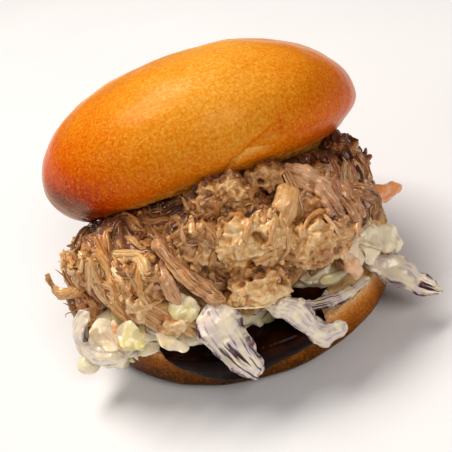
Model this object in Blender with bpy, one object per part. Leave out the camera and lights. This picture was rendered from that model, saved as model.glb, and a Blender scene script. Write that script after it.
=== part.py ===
"""Pulled pork sandwich: a brioche bun, its crown tipped back over a tall heap.

The bun is cut across. The heel lies flat with a pool of dark sauce on it that
runs over the front rim. On the sauce lies a bed of coleslaw, and on that the
heap of pulled pork. The crown rests on the heap and leans back, so the front
of the filling shows. Large torn pieces of pork and leaves of cabbage stand
out of both heaps, and each of them is a piece of its own.

Frame: +Z up, the front towards -Y. The origin is the centre of the heel's
flat base, on the surface that the sandwich stands on. Lengths are in metres;
places of the loose pieces are listed in millimetres and turned by mm().
"""

import math

import bmesh
import bpy
from mathutils import Matrix, Vector, noise

MM = 0.001
GAP = 0.3 * MM             # clear space that touching pieces keep
SWELL = 1.15               # how far a cutter's corners are moved, in gaps
RIM_STAND_OFF = 0.9 * MM   # how far a layer bulges where it folds over the rim
RIM_FOLD = 3.0 * MM        # half the width of that fold

# Heel: the flat lower half of the bun.
RIM_RADIUS = 54.7 * MM     # edge of the cut face
RIM_HEIGHT = 17.5 * MM     # level of the cut face
BELLY_RADIUS = 55.0 * MM   # widest turn of the crust
BELLY_HEIGHT = 6.0 * MM
BASE_RADIUS = 38.0 * MM    # flat spot that it rests on

# Crown: the domed upper half, slightly less deep than it is wide.
CROWN_RADIUS = 54.1 * MM
CROWN_CUT_RADIUS = 40.6 * MM
CROWN_BELLY = 14.4 * MM    # from the cut face up to the widest turn
CROWN_TALL = 43.6 * MM     # from the cut face up to the top
CROWN_DEPTH = 0.93         # depth over width
CROWN_PLACE = (-0.5 * MM, 4.5 * MM, 40.4 * MM)
CROWN_LEAN = math.radians(30.0)
CROWN_ROLL = math.radians(1.7)

# Sauce: a pool on the heel that hangs over the front rim.
SAUCE_CENTRE = (1.0 * MM, -34.0 * MM)
SAUCE_REACH = (35.0 * MM, 24.5 * MM)
SAUCE_THICK = 3.4 * MM

# Coleslaw: a bed as wide as the bun, heaped up at the left and the right.
SLAW_CENTRE = (0.0, -3.0 * MM)
SLAW_REACH = (51.0 * MM, 48.0 * MM)
SLAW_THICK = 9.0 * MM

# Pork: the heap's body, from the coleslaw up to the crown.
PORK_CENTRE = (0.0, -14.0 * MM, 36.0 * MM)
PORK_FLOOR = 22.0 * MM
TOP_SINK = 2.0 * MM        # how far the heap's top is taken past the crown's cut

COLOURS = {                # base colour, roughness
    "crust": ((0.60, 0.22, 0.035), 0.38),
    "sauce": ((0.020, 0.008, 0.005), 0.12),
    "slaw": ((0.78, 0.72, 0.52), 0.30),
    "cabbage": ((0.62, 0.55, 0.62), 0.28),
    "green_cabbage": ((0.70, 0.72, 0.36), 0.28),
    "carrot": ((0.80, 0.36, 0.14), 0.30),
    "pork": ((0.46, 0.26, 0.12), 0.45),
    "pork_pink": ((0.50, 0.25, 0.17), 0.40),
    "pork_dark": ((0.22, 0.09, 0.05), 0.40),
}


def mm(*values):
    """A point given in millimetres, as a vector in metres."""
    return Vector(values) * MM


def clear_scene():
    for item in list(bpy.data.objects):
        bpy.data.objects.remove(item, do_unlink=True)


def new_collection(name):
    collection = bpy.data.collections.new(name)
    bpy.context.scene.collection.children.link(collection)
    return collection


def material(name):
    """The piece's own Principled material, from the colour table."""
    colour, roughness = COLOURS[name]
    made = bpy.data.materials.new(name)
    made.use_nodes = True
    shader = made.node_tree.nodes["Principled BSDF"]
    shader.inputs["Base Color"].default_value = (*colour, 1.0)
    shader.inputs["Roughness"].default_value = roughness
    shader.inputs["Metallic"].default_value = 0.0
    return made


def add_object(name, bm, colour):
    """Close a bmesh into a named object whose faces point outwards."""
    bmesh.ops.triangulate(bm, faces=bm.faces[:])
    if bm.calc_volume(signed=True) < 0.0:
        bmesh.ops.reverse_faces(bm, faces=bm.faces[:])
    mesh = bpy.data.meshes.new(name)
    bm.to_mesh(mesh)
    bm.free()
    mesh.shade_smooth()
    mesh.materials.append(material(colour))
    item = bpy.data.objects.new(name, mesh)
    SANDWICH.objects.link(item)
    swell(item)
    return item


def swell(item):
    """Keep a copy of a whole piece, larger by the gap, to cut later ones with."""
    bm = bmesh.new()
    bm.from_mesh(item.data)
    bm.normal_update()
    moved = [v.co + v.normal * GAP * SWELL for v in bm.verts]
    for vert, place in zip(bm.verts, moved):
        vert.co = place
    mesh = bpy.data.meshes.new("cut_" + item.name)
    bm.to_mesh(mesh)
    bm.free()
    cutter = bpy.data.objects.new("cut_" + item.name, mesh)
    cutter.hide_render = True
    cutter.display_type = "WIRE"
    CUTTERS.objects.link(cutter)


def near(a, b):
    """Whether the boxes of two objects meet."""
    lows = []
    highs = []
    for item in (a, b):
        corners = [v.co for v in item.data.vertices]
        lows.append([min(c[i] for c in corners) for i in range(3)])
        highs.append([max(c[i] for c in corners) for i in range(3)])
    return all(lows[0][i] < highs[1][i] and lows[1][i] < highs[0][i] for i in range(3))


def cut(item, others):
    """Take the swollen shapes of the other pieces out of this one."""
    for other in others:
        cutter = CUTTERS.objects["cut_" + other.name]
        if not near(item, cutter):
            continue
        boolean = item.modifiers.new("clear_" + other.name, "BOOLEAN")
        boolean.operation = "DIFFERENCE"
        boolean.solver = "EXACT"
        boolean.object = cutter
        bpy.context.view_layer.update()
        graph = bpy.context.evaluated_depsgraph_get()
        shape = bpy.data.meshes.new_from_object(item.evaluated_get(graph))
        item.modifiers.clear()
        item.data = shape
        keep_largest_body(item)


def keep_largest_body(item):
    """Weld a cut mesh and drop the crumbs that a cut has parted from it."""
    bm = bmesh.new()
    bm.from_mesh(item.data)
    bmesh.ops.remove_doubles(bm, verts=bm.verts[:], dist=0.02 * MM)
    bmesh.ops.dissolve_degenerate(bm, edges=bm.edges[:], dist=0.02 * MM)
    waiting = set(bm.verts)
    bodies = []
    while waiting:
        stack = [waiting.pop()]
        body = list(stack)
        while stack:
            for edge in stack.pop().link_edges:
                for vert in edge.verts:
                    if vert in waiting:
                        waiting.discard(vert)
                        stack.append(vert)
                        body.append(vert)
        bodies.append(body)
    bodies.sort(key=len, reverse=True)
    for body in bodies[1:]:
        bmesh.ops.delete(bm, geom=body, context="VERTS")
    bmesh.ops.triangulate(bm, faces=bm.faces[:])
    bm.to_mesh(item.data)
    bm.free()


def smooth_route(points, t):
    """A place on a Catmull-Rom curve through the points, for t from 0 to 1."""
    spans = len(points) - 1
    where = min(max(t, 0.0), 1.0) * spans
    i = min(int(where), spans - 1)
    u = where - i
    p1 = points[i]
    p2 = points[i + 1]
    p0 = points[i - 1] if i > 0 else p1 * 2.0 - p2
    p3 = points[i + 2] if i + 2 <= spans else p2 * 2.0 - p1
    return 0.5 * (2.0 * p1 + (p2 - p0) * u
                  + (2.0 * p0 - 5.0 * p1 + 4.0 * p2 - p3) * u * u
                  + (3.0 * p1 - p0 - 3.0 * p2 + p3) * u * u * u)


def lumps(place, size, seed):
    """Soft unevenness from -1 to 1 with bumps of the given size."""
    return noise.noise(place / size + Vector((seed * 7.3, seed * 3.1, seed * 5.7)))


# ---------------------------------------------------------------- the bun

def spun(profile, segments):
    """Turn a half outline of (radius, height) pairs about the Z axis."""
    bm = bmesh.new()
    verts = [bm.verts.new((radius, 0.0, height)) for radius, height in profile]
    for a, b in zip(verts, verts[1:]):
        bm.edges.new((a, b))
    bmesh.ops.spin(bm, geom=bm.verts[:] + bm.edges[:], axis=(0, 0, 1), cent=(0, 0, 0),
                   angle=math.tau, steps=segments, use_merge=True)
    bmesh.ops.remove_doubles(bm, verts=bm.verts[:], dist=0.01 * MM)
    return bm


def heel_side(turn):
    """The crust's outline: turn 0 at the rim, 1 at the belly, 2 at the base."""
    angle = min(turn, 1.0) * math.pi / 2.0
    if turn <= 1.0:
        radius = RIM_RADIUS + (BELLY_RADIUS - RIM_RADIUS) * math.sin(angle)
        height = RIM_HEIGHT - (RIM_HEIGHT - BELLY_HEIGHT) * (1.0 - math.cos(angle))
        return radius, height
    angle = (turn - 1.0) * math.pi / 2.0
    radius = BASE_RADIUS + (BELLY_RADIUS - BASE_RADIUS) * math.cos(angle)
    return radius, BELLY_HEIGHT * (1.0 - math.sin(angle))


def make_heel():
    profile = [(0.0, RIM_HEIGHT), (RIM_RADIUS * 0.55, RIM_HEIGHT)]
    profile += [heel_side(i / 4.0) for i in range(9)]
    profile += [(0.0, 0.0)]
    return add_object("bun_heel", spun(profile, 32), "crust")


def crown_profile():
    """The crown's half outline, from the middle of its cut face to its top."""
    outline = [(0.0, 0.0), (CROWN_CUT_RADIUS * 0.6, 0.0)]
    for i in range(6):
        angle = i / 6.0 * math.pi / 2.0
        radius = CROWN_CUT_RADIUS + (CROWN_RADIUS - CROWN_CUT_RADIUS) * math.sin(angle)
        outline.append((radius, CROWN_BELLY * (1.0 - math.cos(angle))))
    for i in range(10):
        angle = i / 9.0 * math.pi / 2.0
        radius = CROWN_RADIUS * math.cos(angle) ** 0.97
        outline.append((radius, CROWN_BELLY + (CROWN_TALL - CROWN_BELLY) * math.sin(angle) ** 0.97))
    return outline


def crown_turn():
    """Stand the crown on the heap: leaned back and rolled a little."""
    lean = Matrix.Rotation(-CROWN_LEAN, 4, "X")
    roll = Matrix.Rotation(-CROWN_ROLL, 4, "Y")
    return Matrix.Translation(CROWN_PLACE) @ lean @ roll


def make_crown():
    bm = spun(crown_profile(), 32)
    for vert in bm.verts:
        vert.co.y *= CROWN_DEPTH
    bmesh.ops.transform(bm, matrix=crown_turn(), verts=bm.verts[:])
    return add_object("bun_crown", bm, "crust")


def crown_cut_level(x, y):
    """Height of the crown's cut plane over a place on the floor."""
    normal = crown_turn().to_3x3() @ Vector((0.0, 0.0, 1.0))
    px, py, pz = CROWN_PLACE
    return pz - (normal.x * (x - px) + normal.y * (y - py)) / normal.z


# ------------------------------------------------- layers that lie on the heel

def drape(x, y, lift):
    """Lay a flat place on the heel: past the rim it folds down the side."""
    reach = math.hypot(x, y)
    out = Vector((x / max(reach, 1e-9), y / max(reach, 1e-9), 0.0))
    folded = (reach - RIM_RADIUS + RIM_FOLD) / (2.0 * RIM_FOLD)
    turn = min(max(folded, 0.0), 1.0) * math.pi / 2.0
    normal = out * math.sin(turn) + Vector((0.0, 0.0, math.cos(turn)))
    if reach <= RIM_RADIUS:
        foot = out * reach + Vector((0.0, 0.0, RIM_HEIGHT))
    else:
        foot = out * BELLY_RADIUS + Vector((0.0, 0.0, RIM_HEIGHT - (reach - RIM_RADIUS)))
    return foot + normal * (lift + RIM_STAND_OFF * math.sin(2.0 * turn))


def pad(name, colour, centre, outline, thickness, square, segments):
    """A layer with a rounded edge, draped over the heel.

    outline(angle) is its reach from the centre and thickness(x, y) its height.
    square makes the edge blunter: 2 is a round bun edge, 5 nearly upright.
    """
    bm = bmesh.new()
    bmesh.ops.create_uvsphere(bm, u_segments=segments, v_segments=9, radius=1.0)
    for vert in bm.verts:
        flat = math.hypot(vert.co.x, vert.co.y)
        angle = math.atan2(vert.co.y, vert.co.x)
        out = min(flat, 1.0) ** (2.0 / square)
        level = math.copysign(min(abs(vert.co.z), 1.0) ** (2.0 / square), vert.co.z)
        x = centre[0] + outline(angle) * out * math.cos(angle)
        y = centre[1] + outline(angle) * out * math.sin(angle)
        lift = GAP + thickness(x, y) * 0.5 * (1.0 + level)
        vert.co = drape(x, y, lift)
    return add_object(name, bm, colour)


def ellipse_reach(reach, angle):
    return 1.0 / math.hypot(math.cos(angle) / reach[0], math.sin(angle) / reach[1])


def make_sauce():
    def outline(angle):
        tongue = math.exp(-((angle + 1.85) / 0.5) ** 2)
        return ellipse_reach(SAUCE_REACH, angle) + 6.0 * MM * tongue + 1.2 * MM * math.sin(5.0 * angle)

    def thickness(x, y):
        return SAUCE_THICK + 0.5 * MM * lumps(Vector((x, y, 0.0)), 11.0 * MM, 1)

    return pad("barbecue_sauce", "sauce", SAUCE_CENTRE, outline, thickness, 3.0, 24)


def swelling(x, y, centre, width, tall):
    """A soft round hill on a layer."""
    away = math.hypot(x - centre[0] * MM, y - centre[1] * MM)
    return tall * MM * math.exp(-(away / (width * MM)) ** 2)


def make_slaw():
    def outline(angle):
        left_spill = 9.0 * MM * math.exp(-((angle + 2.45) / 0.40) ** 2)
        front_gap = -9.0 * MM * math.exp(-((angle + 1.28) / 0.22) ** 2)
        uneven = 1.3 * MM * math.sin(7.0 * angle + 0.8) + 0.9 * MM * math.sin(12.0 * angle)
        return ellipse_reach(SLAW_REACH, angle) + left_spill + front_gap + uneven

    def thickness(x, y):
        tall = SLAW_THICK
        tall += swelling(x, y, (40.0, -20.0), 13.0, 13.0)
        tall += swelling(x, y, (-40.0, -26.0), 15.0, 6.0)
        tall += swelling(x, y, (-8.0, -44.0), 10.0, 8.0)
        tall -= swelling(x, y, (0.0, 52.0), 30.0, 5.0)
        return tall + 1.3 * MM * lumps(Vector((x, y, 0.0)), 7.0 * MM, 2)

    return pad("coleslaw", "slaw", SLAW_CENTRE, outline, thickness, 3.4, 32)


# --------------------------------------------------------- the heap of pork

HEAP_HILLS = (             # centre and half sizes in millimetres
    ((0, -10, 36), (50, 36, 22)),
    ((-36, -20, 40), (17, 17, 13)),
    ((-26, -33, 37), (15, 14, 12)),
    ((0, -34, 44), (20, 14, 15)),
    ((22, -30, 44), (16, 13, 13)),
    ((38, -6, 38), (13, 15, 11)),
    ((-20, -42, 31), (10, 7, 8)),
)


def heap_reach(centre, way):
    """How far the union of the hills reaches from a centre in one direction."""
    reach = 0.0
    for hill, half in HEAP_HILLS:
        start = Vector([(centre[i] - hill[i] * MM) / (half[i] * MM) for i in range(3)])
        step = Vector([way[i] / (half[i] * MM) for i in range(3)])
        a = step.dot(step)
        b = 2.0 * start.dot(step)
        c = start.dot(start) - 1.0
        inside = b * b - 4.0 * a * c
        if inside > 0.0:
            reach = max(reach, (-b + math.sqrt(inside)) / (2.0 * a))
    return reach


def make_pork():
    centre = Vector(PORK_CENTRE)
    bm = bmesh.new()
    bmesh.ops.create_uvsphere(bm, u_segments=34, v_segments=14, radius=1.0)
    for vert in bm.verts:
        way = vert.co.normalized()
        place = centre + way * heap_reach(centre, way)
        place += way * 1.4 * MM * lumps(place, 8.0 * MM, 3)
        top = crown_cut_level(place.x, place.y) + TOP_SINK
        place.z = max(min(place.z, top), PORK_FLOOR)
        vert.co = place
    return add_object("pulled_pork", bm, "pork")


# ------------------------------------------------------------ single pieces

def make_strip(name, colour, route, widths, thicks, facing, cup=0.0, rings=9, sides=8):
    """A flat strand or leaf along a route of points in millimetres.

    facing is the way its broad side looks, and cup lifts its two edges.
    """
    points = [mm(*place) for place in route]
    sizes = [Vector((w * MM, t * MM, 0.0)) for w, t in zip(widths, thicks)]
    look = Vector(facing).normalized()
    bm = bmesh.new()
    bmesh.ops.create_uvsphere(bm, u_segments=sides, v_segments=rings, radius=1.0)
    for vert in bm.verts:
        t = 0.5 - 0.5 * max(min(vert.co.z, 1.0), -1.0)
        t = 0.5 - 0.5 * math.copysign(abs(1.0 - 2.0 * t) ** 0.75, 1.0 - 2.0 * t)
        full = math.hypot(vert.co.x, vert.co.y)
        ring = Vector((vert.co.x, vert.co.y)) / max(full, 1e-9) * min(full, 1.0) ** 0.7
        along = (smooth_route(points, min(t + 0.02, 1.0)) - smooth_route(points, max(t - 0.02, 0.0)))
        along.normalize()
        side = along.cross(look).normalized()
        up = side.cross(along).normalized()
        size = smooth_route(sizes, t)
        bend = cup * MM * ring.x * ring.x
        vert.co = (smooth_route(points, t) + side * ring.x * size.x * 0.5
                   + up * (ring.y * size.y * 0.5 + bend))
    return add_object(name, bm, colour)


def make_lump(name, colour, centre, half, seed, rough=0.16, fine=2):
    """A torn chunk: a ball of the given half sizes in millimetres, pushed about."""
    bm = bmesh.new()
    bmesh.ops.create_icosphere(bm, subdivisions=fine, radius=1.0)
    for vert in bm.verts:
        way = vert.co.normalized()
        push = 1.0 + rough * noise.noise(way * 1.7 + Vector((seed, 2.0 * seed, 0.5)))
        push += 0.5 * rough * noise.noise(way * 4.1 + Vector((seed, seed, seed)))
        vert.co = Vector([way[i] * half[i] * MM * push + centre[i] * MM for i in range(3)])
    return add_object(name, bm, colour)


FRONT = (0.0, -0.82, 0.57)         # the way the front of the heap looks
RIGHT_FRONT = (0.55, -0.60, 0.58)
LEFT_FRONT = (-0.60, -0.55, 0.58)

PORK_CHUNKS = (            # name, colour, centre, half sizes, seed
    ("pork_clump_centre", "pork", (6, -43, 46), (13, 8, 11), 1.0),
    ("pork_clump_low", "pork", (4, -50, 36), (10, 6, 7.5), 2.0),
    ("pork_clump_right", "pork", (22, -43, 41), (12, 7.5, 8.5), 3.0),
    ("pork_chunk_upper", "pork", (1, -34, 58), (10, 6, 7), 4.0),
    ("pork_chunk_shaded", "pork", (13, -31, 58), (8, 5, 5), 5.0),
    ("pork_chunk_back", "pork_dark", (41, -4, 40), (9.5, 10, 9), 6.0),
    ("pork_chunk_inner", "pork", (-9, -42, 49), (7, 5, 9), 7.0),
    ("pork_chunk_round", "pork_pink", (-25, -42, 44), (4, 4.5, 6), 8.0),
    ("pork_chunk_left", "pork_dark", (-48, -30, 31), (5.5, 6.5, 6.5), 9.0),
)

PORK_STRIPS = (            # name, colour, route, widths, thicknesses, facing, cup
    ("pork_chunk_smooth", "pork_pink",
     ((20, -35, 58), (18, -41, 52), (13, -46, 46)), (7, 8, 6.5), (6, 6.5, 5), FRONT, 0.0),
    ("pork_strip_upper", "pork_pink",
     ((20, -30, 59), (25, -34, 56), (30, -35, 52)), (4, 8, 7), (3, 4, 4), FRONT, 0.0),
    ("pork_strip_long", "pork_pink",
     ((27, -34, 54), (30, -40, 48), (32, -42, 42)), (6, 7, 4), (4, 4.5, 3), FRONT, 0.0),
    ("pork_strip_edge", "pork_pink",
     ((32, -31, 52), (36, -36, 47), (38, -39, 41)), (6, 7, 5), (4, 4.5, 4), RIGHT_FRONT, 0.0),
    ("pork_strand_long", "pork_pink",
     ((-20, -38, 53), (-17, -44, 48), (-12, -50, 42), (-6, -54, 37)),
     (4, 5, 5.5, 4), (3, 4, 4, 3), FRONT, 0.0),
    ("pork_strand_short", "pork_pink",
     ((-21, -42, 48), (-20, -47, 43), (-19, -50, 38)), (3.5, 5, 4.5), (3, 4, 3), FRONT, 0.0),
    ("pork_strand_tip", "pork",
     ((-57, -25, 43), (-56.5, -26, 39), (-54, -28, 36.5), (-49, -30, 38), (-42, -29, 41)),
     (1.6, 2.6, 4, 4.5, 4), (1.4, 2, 3, 3.5, 3), LEFT_FRONT, 0.0),
    ("onion_curl", "pork_dark",
     ((36, -33, 48), (41, -34, 46), (45, -33, 41), (43, -36, 36)),
     (4, 5, 5, 4), (2.6, 2.8, 2.8, 2.4), RIGHT_FRONT, 0.0),
)

SLAW_PIECES = (            # the same columns, in the order that they are cut
    ("cabbage_leaf_front", "cabbage",
     ((-11, -52, 38), (-10, -56, 32), (-7, -59.5, 23), (-6, -60.5, 16), (-6, -59.5, 11)),
     (8, 14, 12, 9, 5), (3, 3, 2.6, 2.4, 2.2), FRONT, 1.5),
    ("cabbage_fold_front", "cabbage",
     ((4, -54, 32), (11, -57, 30), (14, -58, 24.5), (18, -58, 19), (25.5, -56, 17)),
     (5, 8, 8, 10, 8), (4, 4.5, 4.5, 4.5, 4), FRONT, 0.6),
    ("cabbage_strip_right", "cabbage",
     ((14, -52, 26), (23, -50, 22.5), (30, -46, 20.5), (37, -42, 20)),
     (3, 3.6, 3.6, 3), (1.8, 2, 2, 1.8), (0.1, -0.5, 0.85), 0.0),
    ("cabbage_leaf_right", "cabbage",
     ((38, -36, 22), (45, -41, 19), (51, -45, 14), (58, -47, 10.5)),
     (8, 12, 11, 3), (2.6, 2.6, 2.4, 1.6), RIGHT_FRONT, 1.2),
    ("cabbage_curl_right", "green_cabbage",
     ((35, -40, 34), (41, -38, 31), (47, -35, 26), (49, -36, 22)),
     (5, 8, 8, 6), (3, 3.6, 3.6, 3), RIGHT_FRONT, 1.2),
    ("cabbage_strip_hanging", "carrot",
     ((30, -45, 36), (32, -47, 30), (33, -46, 24.5)),
     (4, 5, 4), (2.6, 3, 2.6), RIGHT_FRONT, 0.0),
    ("carrot_strip_right", "carrot",
     ((44, -27, 37), (50, -23, 35.5), (56.5, -20, 34)), (5, 5.5, 4.5), (3.5, 3.6, 3.2), RIGHT_FRONT, 0.0),
    ("slaw_drape_left", "cabbage",
     ((-47, -36, 34), (-51, -37, 28), (-51.5, -38, 21), (-47, -43, 18), (-40, -47, 19)),
     (6, 6.5, 7, 8, 6), (3.4, 3.6, 4, 4, 3), LEFT_FRONT, 0.0),
    ("cabbage_fold_centre", "green_cabbage",
     ((-21, -47, 38), (-18, -50, 36), (-15, -52, 33)), (7, 8, 6), (3, 3.4, 3), FRONT, 0.8),
)

DRESSING_BLOB = ((-53.5, -38, 13.5), (3.8, 3.6, 3.4), 3.0)   # hangs below the left drape


def main():
    heel = make_heel()
    crown = make_crown()
    placed = [heel, crown]
    for name, colour, route, widths, thicks, facing, cup in SLAW_PIECES:
        piece = make_strip(name, colour, route, widths, thicks, facing, cup)
        cut(piece, placed)
        placed.append(piece)
    blob = make_lump("dressing_blob", "slaw", *DRESSING_BLOB, rough=0.1)
    cut(blob, placed)
    placed.append(blob)
    for name, colour, route, widths, thicks, facing, cup in PORK_STRIPS:
        piece = make_strip(name, colour, route, widths, thicks, facing, cup)
        cut(piece, placed)
        placed.append(piece)
    for name, colour, centre, half, seed in PORK_CHUNKS:
        piece = make_lump(name, colour, centre, half, seed)
        cut(piece, placed)
        placed.append(piece)
    for make in (make_sauce, make_slaw, make_pork):
        heap = make()
        cut(heap, placed)
        placed.append(heap)


clear_scene()
SANDWICH = new_collection("pulled_pork_sandwich")
CUTTERS = new_collection("cutters")
main()
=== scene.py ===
# %% [markdown]
# # A pulled pork sandwich
#
# This lesson dresses the plain solids of a pulled pork sandwich. A brioche bun is cut across; on
# its heel lie a pool of dark sauce, a bed of coleslaw and a tall heap of pulled pork, and the crown
# leans back on the heap. Each step says what a piece is on the real sandwich, how it could be made
# and why it is made this way. Everything is in metres, with the front towards -Y.

# %% Load the solids
import math
import random

import bmesh
import bpy
from mathutils import Matrix, Vector, noise
from mathutils.bvhtree import BVHTree


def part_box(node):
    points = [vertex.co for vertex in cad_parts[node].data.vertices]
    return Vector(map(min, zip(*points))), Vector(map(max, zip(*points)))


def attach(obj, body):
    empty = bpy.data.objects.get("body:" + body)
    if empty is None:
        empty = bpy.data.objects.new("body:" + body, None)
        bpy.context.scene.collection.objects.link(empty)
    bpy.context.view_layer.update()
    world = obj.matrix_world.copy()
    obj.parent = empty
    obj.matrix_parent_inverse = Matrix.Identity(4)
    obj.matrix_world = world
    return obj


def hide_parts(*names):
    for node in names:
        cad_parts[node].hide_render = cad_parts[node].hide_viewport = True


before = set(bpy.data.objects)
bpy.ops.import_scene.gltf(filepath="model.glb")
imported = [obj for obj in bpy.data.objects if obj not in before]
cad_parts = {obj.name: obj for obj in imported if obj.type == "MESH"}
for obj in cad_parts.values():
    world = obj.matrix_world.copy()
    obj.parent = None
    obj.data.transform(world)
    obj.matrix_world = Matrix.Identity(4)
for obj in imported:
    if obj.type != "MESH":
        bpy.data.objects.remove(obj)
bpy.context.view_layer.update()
MM = 0.001

# %% [markdown]
# ## Small helpers
#
# Colours are written as the hex values that a paint program shows, and one function turns them to
# the linear values that the shaders want. One function adds a shader node with its settings, its
# values and its links, so that each material below reads as a short recipe.

# %% Helpers for colours, nodes and pieces
def mm(*values):
    """A point or direction given in millimetres."""
    return Vector(values) * MM


def hex_linear(text):
    """An sRGB hex colour as linear RGBA."""
    parts = [int(text[i:i + 2], 16) / 255.0 for i in (1, 3, 5)]
    linear = [c / 12.92 if c <= 0.04045 else ((c + 0.055) / 1.055) ** 2.4 for c in parts]
    return (*linear, 1.0)


def add_node(tree, kind, inputs=None, stops=None, **settings):
    """Add one node: settings are its properties, inputs its values or the sockets to link."""
    node = tree.nodes.new(kind)
    for key, value in settings.items():
        setattr(node, key, value)
    for key, value in (inputs or {}).items():
        if isinstance(value, bpy.types.NodeSocket):
            tree.links.new(value, node.inputs[key])
        else:
            node.inputs[key].default_value = value
    if stops:
        points = node.color_ramp.elements
        while len(points) < len(stops):
            points.new(0.5)
        for point, (place, colour) in zip(points, stops):
            point.position = place
            point.color = hex_linear(colour)
    return node


def new_material(name):
    """An empty material with its output, and its Principled shader to fill in."""
    made = bpy.data.materials.new(name)
    made.use_nodes = True
    shader = made.node_tree.nodes["Principled BSDF"]
    return made, made.node_tree, shader


MIX_FACTOR, MIX_A, MIX_B, MIX_RESULT = 0, 6, 7, 2     # sockets of a colour Mix node


def place_mesh(mesh, name, material, slot, *stands_for):
    """Give a mesh its material and make it a smooth-shaded piece that rides on the sandwich."""
    mesh.shade_smooth()
    mesh.materials.append(material)
    piece = bpy.data.objects.new(name, mesh)
    bpy.context.scene.collection.objects.link(piece)
    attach(piece, "root")
    if stands_for:
        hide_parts(*stands_for)
    print(name, "faces:", len(mesh.polygons))
    return piece


def finish_piece(bm, name, material, slot, *stands_for):
    """Turn a bmesh into a finished piece."""
    mesh = bpy.data.meshes.new(name)
    bm.to_mesh(mesh)
    bm.free()
    return place_mesh(mesh, name, material, slot, *stands_for)


def soft_noise(place, size, seed=0.0, octaves=2):
    """Soft unevenness from about -1 to 1, with bumps of the given size."""
    return noise.fractal(place / size + Vector((seed, 2.0 * seed, 3.0 * seed)), 0.9, 2.1, octaves)


def smooth_step(low, high, value):
    """0 below low, 1 above high, and an even ramp with soft ends between."""
    t = min(max((value - low) / (high - low), 0.0), 1.0)
    return t * t * (3.0 - 2.0 * t)


# %% [markdown]
# ## The shapes of the bun
#
# A bun is a ball of dough that rose and spread on a flat tray, so both halves are turned shapes
# that are a little uneven. They could be sculpted from a sphere, but a spun outline keeps the cut
# edge, the under-curl and the flat base exact. The outline is spun finely and each point is then
# moved a little: wide soft bumps for the dough, small ones for the torn edge of the cut.

# %% Spin an outline
AROUND = 430     # steps round one half of the bun, about 0.8 mm each at the widest turn


def spun(outline):
    """Turn a half outline of (radius, height) pairs about the Z axis."""
    bm = bmesh.new()
    verts = [bm.verts.new((radius, 0.0, height)) for radius, height in outline]
    for a, b in zip(verts, verts[1:]):
        bm.edges.new((a, b))
    bmesh.ops.spin(bm, geom=bm.verts[:] + bm.edges[:], axis=(0, 0, 1), cent=(0, 0, 0),
                   angle=math.tau, steps=AROUND, use_merge=True)
    bmesh.ops.remove_doubles(bm, verts=bm.verts[:], dist=0.002 * MM)
    if bm.calc_volume(signed=True) < 0.0:
        bmesh.ops.reverse_faces(bm, faces=bm.faces[:])
    return bm


# %% [markdown]
# ## The crown
#
# The crown is the egg-washed top of the bun. Its cut face is flat, its crust curls in under the
# widest turn, and it rests on the heap leaning back, rolled a little to one side. The sizes repeat
# those of the solid. A torn fold runs up from the front edge, where the dough was pinched: points
# near its line are pressed in, and those beside it are lifted to a lip.

# %% Sizes and stand of the crown
CROWN_RADIUS = 54.1 * MM
CROWN_CUT_RADIUS = 40.6 * MM
CROWN_BELLY = 14.4 * MM
CROWN_TALL = 43.6 * MM
CROWN_DEPTH = 0.93
CROWN_STAND = (Matrix.Translation(mm(-0.5, 4.5, 40.4)) @ Matrix.Rotation(math.radians(-30.0), 4, "X")
               @ Matrix.Rotation(math.radians(-1.7), 4, "Y"))


def crown_outline():
    """From the middle of the cut face, out to its edge, round the belly and up to the top."""
    points = [(CROWN_CUT_RADIUS * i / 12.0, 0.0) for i in range(12)]
    for i in range(36):
        angle = i / 36.0 * math.pi / 2.0
        radius = CROWN_CUT_RADIUS + (CROWN_RADIUS - CROWN_CUT_RADIUS) * math.sin(angle)
        points.append((radius, CROWN_BELLY * (1.0 - math.cos(angle))))
    for i in range(91):
        angle = i / 90.0 * math.pi / 2.0
        radius = CROWN_RADIUS * math.cos(angle) ** 0.97
        points.append((radius, CROWN_BELLY + (CROWN_TALL - CROWN_BELLY) * math.sin(angle) ** 0.97))
    return points


# %% The torn fold at the crown's front
FOLD_LINES = (             # points in the crown's own frame (mm), then depth and half width (mm)
    (((5.8, -44.2, 1.6), (6.7, -45.0, 3.0), (8.5, -45.9, 4.2), (13.0, -45.3, 4.5),
      (17.8, -44.0, 4.7)), 1.5, 0.9),
    (((12.5, -46.0, 5.6), (16.0, -46.0, 6.6), (20.1, -45.5, 8.5), (23.8, -44.4, 9.7)), 1.9, 1.6),
)
FOLD_LINES = [([CROWN_STAND @ mm(*point) for point in line], depth, width)
              for line, depth, width in FOLD_LINES]
FRONT_OF_CROWN = -20.0 * MM     # the fold only reaches points in front of this Y


def nearest_on_line(place, line):
    """Distance from a place to a line of points, and the nearest point."""
    best = (1.0, line[0])
    for a, b in zip(line, line[1:]):
        span = b - a
        t = min(max((place - a).dot(span) / span.length_squared, 0.0), 1.0)
        foot = a + span * t
        away = (place - foot).length
        if away < best[0]:
            best = (away, foot)
    return best


def fold_push(place):
    """How far the torn fold moves a point of the crust: in on the line, out on its upper lip."""
    push = 0.0
    for line, depth, width in FOLD_LINES:
        away, foot = nearest_on_line(place, line)
        if away < 4.0 * width * MM:
            side = (place - foot).z / MM
            push -= depth * MM * math.exp(-(away / (width * MM)) ** 2)
            lip = math.exp(-((side + 1.3 * width) / width) ** 2)
            push += 0.35 * MM * lip * math.exp(-(away / (2.5 * MM)) ** 2)
    return push


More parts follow.
